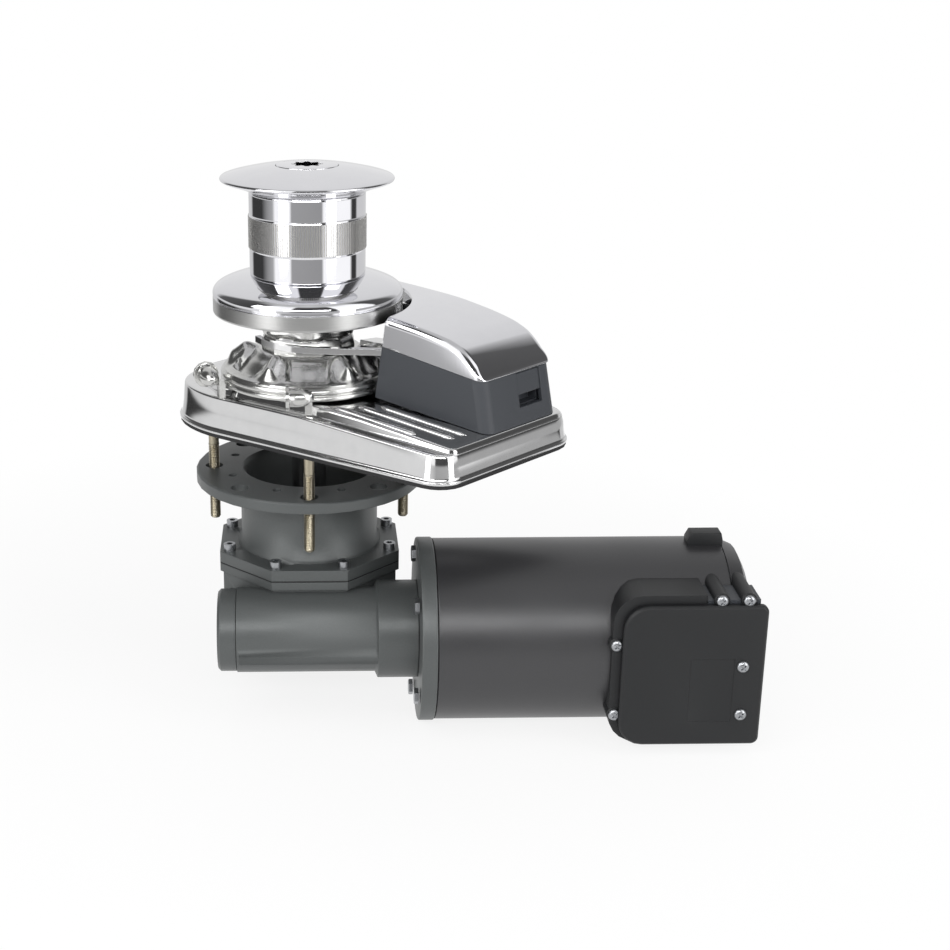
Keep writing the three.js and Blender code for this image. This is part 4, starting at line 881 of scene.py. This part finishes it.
for inset in (6.0, 12.0, 20.0, 30.0):
    outline = rounded_outline(PLATFORM_CORNERS, inset)
    plate_rings.append([(x, y, platform_at(x)) for x, y in outline])
under = [(x, y, PLATE_BOTTOM) for x, y in rounded_outline(PLATE_CORNERS, 8.0)]
plate_mesh = smoothed(built_mesh(*skin([under] + plate_rings)), 50)
add_piece("deck_plate_shell", plate_mesh, polished_stainless, "base_plate", ["base_plate"])


def bullet_rib(from_x, to_x, start_y, width=6.2, height=1.7):
    """A low rounded rib with round ends that follows the platform."""
    lean = math.tan(PLATE_TAPER)
    rings = []
    count = 28
    for i in range(count + 1):
        share = i / count
        x = from_x + (to_x - from_x) * share
        y = start_y + (x - from_x) * lean
        end = min(x - from_x, to_x - x) + 0.05
        round_off = math.sqrt(max(0.0, 1 - (1 - min(end / (width * 0.9), 1.0)) ** 2))
        half = width / 2 * round_off
        ring = [(x, y - half, platform_at(x) - 0.6)]
        for j in range(9):
            angle = math.pi * (1 - j / 8)
            lift = math.sin(angle) ** 0.8 * height * round_off
            ring.append((x, y + half * math.cos(angle), platform_at(x) + lift - 0.05))
        ring.append((x, y + half, platform_at(x) - 0.6))
        rings.append(ring)
    return built_mesh(*skin(rings))


# The three ribs: from x, to x and the y at which each starts.
DECK_RIBS = [(60, 127, -36), (70, 147, -21.5), (79, 148, -9)]
for number, rib in enumerate(DECK_RIBS, 1):
    rib_mesh = smoothed(bullet_rib(*rib), 50)
    add_piece(f"deck_rib_{number}", rib_mesh, polished_stainless, "base_plate")

# Studs with rolled threads

PITCH = 1.25
THREAD_DEPTH = 0.68
TIP_HEIGHT = 1.2
RUN_OUT = 1.5
WAIST = 0.3
STUD_LOW, STUD_SHANK, STUD_TOP = -70.0, -13.0, 14.5
STUD_CIRCLE = 69.0


def threaded_stud(x, y, low, shank, top, radius=4.0):
    """A stud with a helical thread below its plain shank."""
    around = 20
    rings = []
    steps = int((shank - low) / (PITCH / 4))
    for step in range(steps + 1):
        z = low + (shank - low) * step / steps
        ring = []
        for i in range(around):
            angle = 2 * math.pi * i / around
            phase = (z / PITCH - i / around) % 1.0
            above_tip = (z - low) / TIP_HEIGHT
            depth = THREAD_DEPTH * (1 - abs(2 * phase - 1)) * min(1.0, above_tip + 0.2)
            fade = min(1.0, (shank - z) / RUN_OUT)
            chamfer = max(0.0, 1 - above_tip)
            r = radius - depth * fade - chamfer
            ring.append((x + r * math.cos(angle), y + r * math.sin(angle), z))
        rings.append(ring)
    for z in (shank + 0.2, top):
        rings.append(circle(radius - WAIST, z, around, (x, y)))
    return smoothed(built_mesh(*skin(rings)), 50)


for number in range(1, 5):
    angle = math.radians(45 + 90 * (number - 1))
    x, y = STUD_CIRCLE * math.cos(angle), STUD_CIRCLE * math.sin(angle)
    stud = threaded_stud(x, y, STUD_LOW, STUD_SHANK, STUD_TOP)
    node = f"base_stud_{number}"
    add_piece(f"rolled_stud_{number}", stud, drawn_stainless, node, [node])

# Chain housing lid

LID_BEND, LID_NOSE, NOSE_RADIUS = 142.0, 145.6, 6.0
LID_FAR_WALL = 86.0
EDGE_HEIGHT, EDGE_START, EDGE_FALL = 72.2, 69.0, 0.142
WALL_START, WALL_LEAN = 64.5, math.radians(6.5)
SHOULDER = 6.0
SHOULDER_STEPS = 8
# The mouth's radius and height at two levels of its cone.
MOUTH_LOW, MOUTH_HIGH = (65.5, 35), (73.6, 95)
LID_CREST = [
    (4.0, 95.9), (10.5, 95.8), (40.0, 94.8), (70.0, 93.2), (90.0, 90.8), (105.0, 88.5),
    (120.0, 85.3), (126.0, 83.2), (132.0, 80.6), (138.0, 76.3), (143.5, 71.0), (148.0, 65.4),
    (150.4, 61.9), (151.6, 60.9),
]


def crest_at(x):
    """The lid's top along its length, smooth through the measured heights."""
    points = LID_CREST
    for i in range(len(points) - 1):
        (x0, z0), (x1, z1) = points[i], points[i + 1]
        if x <= x1 or i == len(points) - 2:
            before = points[max(i - 1, 0)]
            after = points[min(i + 2, len(points) - 1)]
            m0 = (z1 - before[1]) / (x1 - before[0])
            m1 = (after[1] - z0) / (after[0] - x0)
            t = (x - x0) / (x1 - x0)
            run = x1 - x0
            return (
                (2 * t**3 - 3 * t**2 + 1) * z0
                + (t**3 - 2 * t**2 + t) * run * m0
                + (3 * t**2 - 2 * t**3) * z1
                + (t**3 - t**2) * run * m1
            )
    return points[-1][1]


def near_wall(x):
    """The housing's near wall."""
    return (x - WALL_START) * math.tan(WALL_LEAN) - 0.8


def edge_at(x):
    """The lid's lower edge."""
    return EDGE_HEIGHT - (x - EDGE_START) * EDGE_FALL


def lid_section(x, inset, drop):
    """One cross-section of the lid with rounded shoulders."""
    lean = (edge_at(x) - 25.0) * 0.025
    past = max(0.0, x - LID_NOSE)
    tuck = NOSE_RADIUS - math.sqrt(max(0.0, NOSE_RADIUS**2 - past**2))
    near = near_wall(x) + lean + tuck + inset
    far = LID_FAR_WALL - lean - tuck - inset
    bottom = edge_at(x) - drop
    top = crest_at(x) - inset
    fillet = min(SHOULDER, (top - bottom) * 0.7)
    points = [(x, near, bottom), (x, far, bottom)]
    for y, start in ((far - fillet, 0.0), (near + fillet, math.pi / 2)):
        for step in range(SHOULDER_STEPS + 1):
            angle = start + math.pi / 2 * step / SHOULDER_STEPS
            z = top - fillet + fillet * math.sin(angle)
            points.append((x, y + fillet * math.cos(angle), z))
    return points


def lid_mesh(inset, drop, first, last):
    """The lid's solid from first to last along x, with its sections set closer at the nose."""
    xs = [first + (LID_BEND - first) * i / 40 for i in range(40)]
    xs += [LID_BEND + (last - LID_BEND) * (1 - (1 - i / 16) ** 1.6) for i in range(17)]
    return built_mesh(*skin([lid_section(x, inset, drop) for x in xs]))


def mouth_cutter(low=17.0, high=107.0):
    """The cone that makes room for the gypsy and the clutch disc."""
    (low_radius, low_level), (high_radius, high_level) = MOUTH_LOW, MOUTH_HIGH
    slope = (high_radius - low_radius) / (high_level - low_level)
    wall = [(low_radius + (level - low_level) * slope, level) for level in (low, high)]
    return turned([(0, low), *wall, (0, high)], 160)


lid_cutters = [lid_mesh(2.0, 6.0, -2.0, 149.6), mouth_cutter()]
lid_shell = applied(lid_mesh(0.0, 0.0, 10.5, 151.6), lid_cutters)
add_piece("lid_shell", smoothed(lid_shell, 36), mirror_chrome, "housing_lid", ["housing_lid"])

# Motor shell

AXIS = (0.0, -60.0, -134.0)
YOKE_START, YOKE_END = 87.7, 290.0
YOKE_RADIUS, YOKE_INSIDE = 64.6, 59.6
FLANGE_START, FLANGE_END = 76.4, 87.3
FLANGE_FLAT, FLANGE_BORE, FLANGE_EDGE = 64.5, 8.6, 1.0


def about_motor(profile, steps=128):
    """A lathe shape about the motor's axis."""
    return turned(profile, steps, GEARMOTOR, "X", AXIS)


yoke_profile = [
    (YOKE_INSIDE, YOKE_START), (64.2, YOKE_START), (YOKE_RADIUS, 88.1), (YOKE_RADIUS, 289.4),
    (64.2, YOKE_END), (YOKE_INSIDE, YOKE_END), (YOKE_INSIDE, YOKE_START),
]
yoke_mesh = about_motor(yoke_profile)
add_piece("motor_shell", yoke_mesh, black_powder_coat, "motor_yoke", ["motor_yoke"])
flange_profile = [
    (FLANGE_BORE, FLANGE_START),
    (FLANGE_FLAT, FLANGE_START),
    *arc(FLANGE_FLAT, 77.4, FLANGE_EDGE, -90, 0, 4),
    *arc(FLANGE_FLAT, 86.3, FLANGE_EDGE, 0, 90, 4),
    (FLANGE_BORE, FLANGE_END),
    (FLANGE_BORE, FLANGE_START),
]
flange_mesh = about_motor(flange_profile)
add_piece("motor_mounting_plate", flange_mesh, grey_enamel, "motor_flange", ["motor_flange"])

# Small fasteners of the gearmotor


def pan_head(radius=4.3, height=2.6):
    """A pan head screw with a cross recess, standing on its seat."""
    sunk, wall = -1.5, 0.6
    dome = [(0.0, sunk), (radius, sunk), (radius, wall)]
    for angle in (0.35, 0.7, 1.05, 1.35):
        dome.append((radius * math.cos(angle), wall + (height - wall) * math.sin(angle)))
    dome.append((0.0, height))
    cross = []
    slot_half = 0.55
    slot_reach = radius * 0.55
    for along, across in ((slot_reach, slot_half), (slot_half, slot_reach)):
        ends = [rectangle(-along, along, -across, across, z) for z in (height - 1.6, height + 1)]
        cross.append(built_mesh(*skin(ends)))
    return applied(turned(dome, 20), cross)


def hex_head(across=10.0, height=4.2):
    """A hexagon bolt head, standing on its seat."""
    corner = across / 2 / math.cos(math.pi / 6)
    chamfer = 0.8
    levels = ((corner, 1.0), (corner, height - 0.5), (corner - chamfer, height))
    return built_mesh(*skin([circle(radius, z, 6) for radius, z in levels]))


FACE = (0, -1, 0)
BOX_FRONT, SIDE_FRONT, COVER_FRONT = 128.2, 129.4, -133.0
BOSS_EDGE = 0.8
# Bosses of the terminal box: x, z, and how far their backs and fronts stand off the drum axis.
BOSSES = [
    (208.2, -117.1, 104.0, BOX_FRONT),
    (209.0, -169.3, 104.0, BOX_FRONT),
    (277.2, -84.4, 92.2, SIDE_FRONT),
    (295.6, -84.4, 92.2, SIDE_FRONT),
]
box_screws = [((x, -front, z), FACE) for x, z, _, front in BOSSES]
box_screws += [((293.9, COVER_FRONT, -131.4), FACE), ((294.8, COVER_FRONT, -167.6), FACE)]
screws_mesh = planted(pan_head(), zinc_plate, box_screws)
add_piece("terminal_screws", screws_mesh, zinc_plate, "terminal_cover")

BOLT_SEAT, BOLT_CIRCLE = 76.2, 56
flange_bolts = []
for angle in (85, 140, 213, 285, 340):
    across = AXIS[1] + BOLT_CIRCLE * math.cos(math.radians(angle))
    up = AXIS[2] + BOLT_CIRCLE * math.sin(math.radians(angle))
    flange_bolts.append(((BOLT_SEAT, across, up), (-1, 0, 0)))
bolts_mesh = planted(hex_head(), zinc_plate, flange_bolts)
add_piece("flange_bolts", bolts_mesh, zinc_plate, "motor_flange")


def boss_mesh(x, z, back, front, radius=5.4):
    """A screw boss standing off the terminal box towards its cover."""
    height = front - back
    wall = [(radius, 0), (radius, height - BOSS_EDGE), (radius - BOSS_EDGE, height)]
    mesh = turned([(0, 0), *wall, (0, height)], 28)
    place = Matrix.Translation(Vector((x, -back, z)) * MM)
    mesh.transform(GEARMOTOR @ place @ Matrix.Rotation(math.pi / 2, 4, "X"))
    return mesh


for number, boss in enumerate(BOSSES, 1):
    mesh = boss_mesh(*boss)
    add_piece(f"terminal_boss_{number}", mesh, black_moulding, "terminal_box")

# A small retaining clip on top of the yoke, beside the end bell.
CLIP_SIDES = (-66.0, -54.0)
clip_rings = [
    rectangle(x0, x1, *CLIP_SIDES, z)
    for x0, x1, z in ((266.0, 291.0, -71.0), (266.0, 291.0, -65.5), (268.6, 289.8, -60.4))
]
clip = applied(built_mesh(*skin(clip_rings), GEARMOTOR), bevel=0.6)
add_piece("yoke_clip", clip, black_moulding, "terminal_box")

# The moulded cover of the terminal box, with a shallow blank recess in its face.
RECESS_X, RECESS_Z, RECESS_Y = (258.4, 288.3), (-173.0, -125.8), (-134.0, -132.4)
recess_rings = [[(x, y, z) for x, z, y in rectangle(*RECESS_X, *RECESS_Z, y)] for y in RECESS_Y]
recess = built_mesh(*skin(recess_rings), GEARMOTOR)
cover = applied(refined("terminal_cover"), [recess], bevel=0.3, segments=2)
add_piece("terminal_cover_shell", cover, black_moulding, "terminal_cover", ["terminal_cover"])

# The remaining nodes keep their CAD shape, merged and smoothed

OWN_FINISH = {
    "terminal_box": black_moulding,
    "rim_lug_left": bright_casting,
    "rim_lug_front": bright_casting,
    "chain_stripper": polished_stainless,
    "main_shaft": polished_stainless,
    **{f"cover_bolt_{i}": zinc_plate for i in range(1, 9)},
}
hidden = {n for n, node in NODES.items() if node.hide_render}
for node in sorted(set(NODES) - hidden):
    material = OWN_FINISH.get(node, NODE_FINISH[SLOT_OF[node]])
    add_piece(f"{node}_surface", refined(node), material, node, [node])

# Studio

FLOOR_GLOW = 0.84
FADE_START, FADE_END = 0.3, 0.62
FLOOR_RADIUS = 900.0
FLOOR_CENTRE = (60, 60)
FLOOR_STEPS = 96
FLOOR_GAP = 0.5


def floor_material():
    """White paper: it keeps the object's shadow and fades into the white backdrop further out."""
    material = bpy.data.materials.new("white paper floor")
    material.use_nodes = True
    tree = material.node_tree
    shader = tree.nodes["Principled BSDF"]
    shader.inputs["Base Color"].default_value = linear("#f0f0f0")
    shader.inputs["Roughness"].default_value = 0.8
    path = add_node(tree, "ShaderNodeLightPath")
    sharp = add_node(
        tree,
        "ShaderNodeMath",
        settings={"operation": "MAXIMUM"},
        links={0: path.outputs["Is Glossy Ray"], 1: path.outputs["Is Transmission Ray"]},
    )
    seen = add_node(
        tree,
        "ShaderNodeMath",
        settings={"operation": "MAXIMUM"},
        links={0: path.outputs["Is Camera Ray"], 1: sharp.outputs[0]},
    )
    place = add_node(tree, "ShaderNodeTexCoord")
    reach = add_node(
        tree,
        "ShaderNodeVectorMath",
        settings={"operation": "LENGTH"},
        links={0: place.outputs["Object"]},
    )
    fading = add_node(
        tree,
        "ShaderNodeMapRange",
        sockets={
            "From Min": FADE_START,
            "From Max": FADE_END,
            "To Min": FLOOR_GLOW,
            "To Max": 1.0,
        },
        links={"Value": reach.outputs["Value"]},
    )
    share = add_node(
        tree,
        "ShaderNodeMath",
        settings={"operation": "MULTIPLY"},
        links={0: seen.outputs[0], 1: fading.outputs["Result"]},
    )
    glow = add_node(tree, "ShaderNodeEmission", sockets={"Color": (1, 1, 1, 1), "Strength": 1.0})
    mixed = add_node(
        tree,
        "ShaderNodeMixShader",
        links={0: share.outputs[0], 1: shader.outputs["BSDF"], 2: glow.outputs["Emission"]},
    )
    tree.links.new(mixed.outputs["Shader"], tree.nodes["Material Output"].inputs["Surface"])
    return material


floor_level = cad_bounds[0][2] / MM - FLOOR_GAP
floor_edge = circle(FLOOR_RADIUS, floor_level, FLOOR_STEPS, FLOOR_CENTRE)
floor_mesh = built_mesh(floor_edge, [list(range(FLOOR_STEPS))])
floor_mesh.materials.append(floor_material())
floor = add_object("floor", floor_mesh)

# The room as the metal sees it, in four bands from the floor to the zenith. Low down stand two tall
# white panels beside the camera, with grey between them and dark gaps behind them. A light strip
# lies along the horizon. Above it the same panels hang in a dark room with a light wall at the
# back, and a grey ceiling closes it. Each band is a row of (angle, brightness), with the angle in
# degrees from the camera's side. ROOM_CHANGES says between which values of the direction's upward
# part each band gives way to the next.
LOW_ROOM = [
    (-180, 0.7), (-142, 0.7), (-134, 0.05), (-100, 0.05), (-86, 0.32), (-72, 0.5), (-66, 1.25),
    (-35, 1.25), (-31, 0.42), (28, 0.38), (32, 1.25), (92, 1.25), (98, 0.05), (110, 0.05),
    (115, 0.75), (180, 0.7),
]
HORIZON = [
    (-180, 0.8), (-140, 0.75), (-112, 0.8), (-92, 0.9), (-50, 0.95), (-15, 0.5), (30, 0.55),
    (70, 0.5), (110, 0.5), (180, 0.8),
]
HIGH_ROOM = [
    (-180, 0.88), (-142, 0.8), (-130, 0.12), (-70, 0.06), (-66, 1.3), (-24, 1.3), (-20, 0.07),
    (34, 0.07), (38, 1.3), (84, 1.3), (88, 0.08), (118, 0.12), (136, 0.8), (180, 0.88),
]
OVERHEAD = [(-180, 0.62), (-60, 0.6), (0, 0.72), (60, 0.6), (180, 0.62)]
ROOM_LEVELS = [LOW_ROOM, HORIZON, HIGH_ROOM, OVERHEAD]
ROOM_CHANGES = [(-0.165, -0.13), (0.0, 0.06), (0.82, 0.96)]
TOWARDS_CAMERA = Vector((1, -1, 0)).normalized()
ACROSS = Vector((1, 1, 0)).normalized()

world = bpy.data.worlds.new("studio")
bpy.context.scene.world = world
world.use_nodes = True
sky = world.node_tree
direction = add_node(sky, "ShaderNodeTexCoord")
dots = [
    add_node(
        sky,
        "ShaderNodeVectorMath",
        settings={"operation": "DOT_PRODUCT"},
        sockets={1: axis},
        links={0: direction.outputs["Generated"]},
    )
    for axis in (ACROSS, TOWARDS_CAMERA, Vector((0, 0, 1)))
]
heading = add_node(
    sky,
    "ShaderNodeMath",
    settings={"operation": "ARCTAN2"},
    links={0: dots[0].outputs["Value"], 1: dots[1].outputs["Value"]},
)
turned_share = add_node(
    sky,
    "ShaderNodeMapRange",
    sockets={"From Min": -math.pi, "From Max": math.pi},
    links={"Value": heading.outputs["Value"]},
)
walls = []
for stops in ROOM_LEVELS:
    tones = add_node(sky, "ShaderNodeValToRGB", links={"Fac": turned_share.outputs["Result"]})
    points = tones.color_ramp.elements
    while len(points) < len(stops):
        points.new(0.5)
    for point, (angle, level) in zip(points, stops):
        point.position = angle / 360 + 0.5
        point.color = (level, level, level, 1)
    walls.append(tones.outputs["Color"])
room = walls[0]
for wall, (low, high) in zip(walls[1:], ROOM_CHANGES):
    share = add_node(
        sky,
        "ShaderNodeMapRange",
        settings={"interpolation_type": "SMOOTHSTEP"},
        sockets={"From Min": low, "From Max": high},
        links={"Value": dots[2].outputs["Value"]},
    )
    mixed_walls = add_node(
        sky,
        "ShaderNodeMix",
        settings={"data_type": "RGBA"},
        links={0: share.outputs["Result"], 6: room, 7: wall},
    )
    room = mixed_walls.outputs[2]
rays = add_node(sky, "ShaderNodeLightPath")
straight = add_node(
    sky,
    "ShaderNodeMath",
    settings={"operation": "MAXIMUM"},
    links={0: rays.outputs["Is Camera Ray"], 1: rays.outputs["Is Transmission Ray"]},
)
seen = add_node(
    sky,
    "ShaderNodeMix",
    settings={"data_type": "RGBA"},
    sockets={7: (1, 1, 1, 1)},
    links={0: straight.outputs[0], 6: room},
)
background = sky.nodes["Background"]
background.inputs["Strength"].default_value = 1.0
sky.links.new(seen.outputs[2], background.inputs["Color"])


LAMP_AIM = Vector((0.08, 0.08, -0.02))
PANEL_REACH, PANEL_TURN, PANEL_HEIGHT = 1.45, 47, 0.04
PANEL_SIZE, PANEL_POWER = (0.5, 0.46), 2


def softbox(name, place, size, power):
    """A rectangular lamp aimed at the windlass, with its power in watts."""
    lamp = bpy.data.lights.new(name, "AREA")
    lamp.shape = "RECTANGLE"
    lamp.size, lamp.size_y = size
    lamp.energy = power
    holder = add_object(name, lamp)
    holder.location = place
    aim = LAMP_AIM - Vector(place)
    holder.rotation_euler = aim.to_track_quat("-Z", "Y").to_euler()


softbox("key", (-0.4, -1.7, 1.2), (1.0, 1.0), 10)
softbox("fill", (1.8, 0.3, 0.9), (1.0, 1.0), 6)
softbox("front strip", (0.74, -0.74, 0.47), (1.1, 0.2), 6)
for name, side in (("left panel", -PANEL_TURN), ("right panel", PANEL_TURN)):
    spot = Matrix.Rotation(math.radians(side), 3, "Z") @ TOWARDS_CAMERA * PANEL_REACH
    softbox(name, (spot.x, spot.y, PANEL_HEIGHT), PANEL_SIZE, PANEL_POWER)

# Camera

CAMERA_PLACE = Vector((0.82024, -0.82024, 0.3725))
HEADING = math.radians(1.162)
PITCH_DOWN = math.radians(19.5)
NEAREST_SEEN = 0.05
SENSOR = 36.0
# In pixels of the photo: its width, the focal length, its middle and the column the lens faces.
PHOTO_WIDTH = 950
FOCAL_PIXELS = 1680
MIDDLE_COLUMN = 475
FACED_COLUMN = 341.2

along = ACROSS * math.sin(HEADING) - TOWARDS_CAMERA * math.cos(HEADING)
sight = along * math.cos(PITCH_DOWN) - Vector((0, 0, math.sin(PITCH_DOWN)))
camera_data = bpy.data.cameras.new("camera")
camera_data.sensor_width = SENSOR
camera_data.lens = SENSOR * (FOCAL_PIXELS / PHOTO_WIDTH)
camera_data.shift_x = (MIDDLE_COLUMN - FACED_COLUMN) / PHOTO_WIDTH
camera_data.clip_start = NEAREST_SEEN
camera = add_object("camera", camera_data)
camera.location = CAMERA_PLACE
camera.rotation_euler = sight.to_track_quat("-Z", "Y").to_euler()
bpy.context.scene.camera = camera
bpy.context.scene.view_settings.view_transform = "Standard"
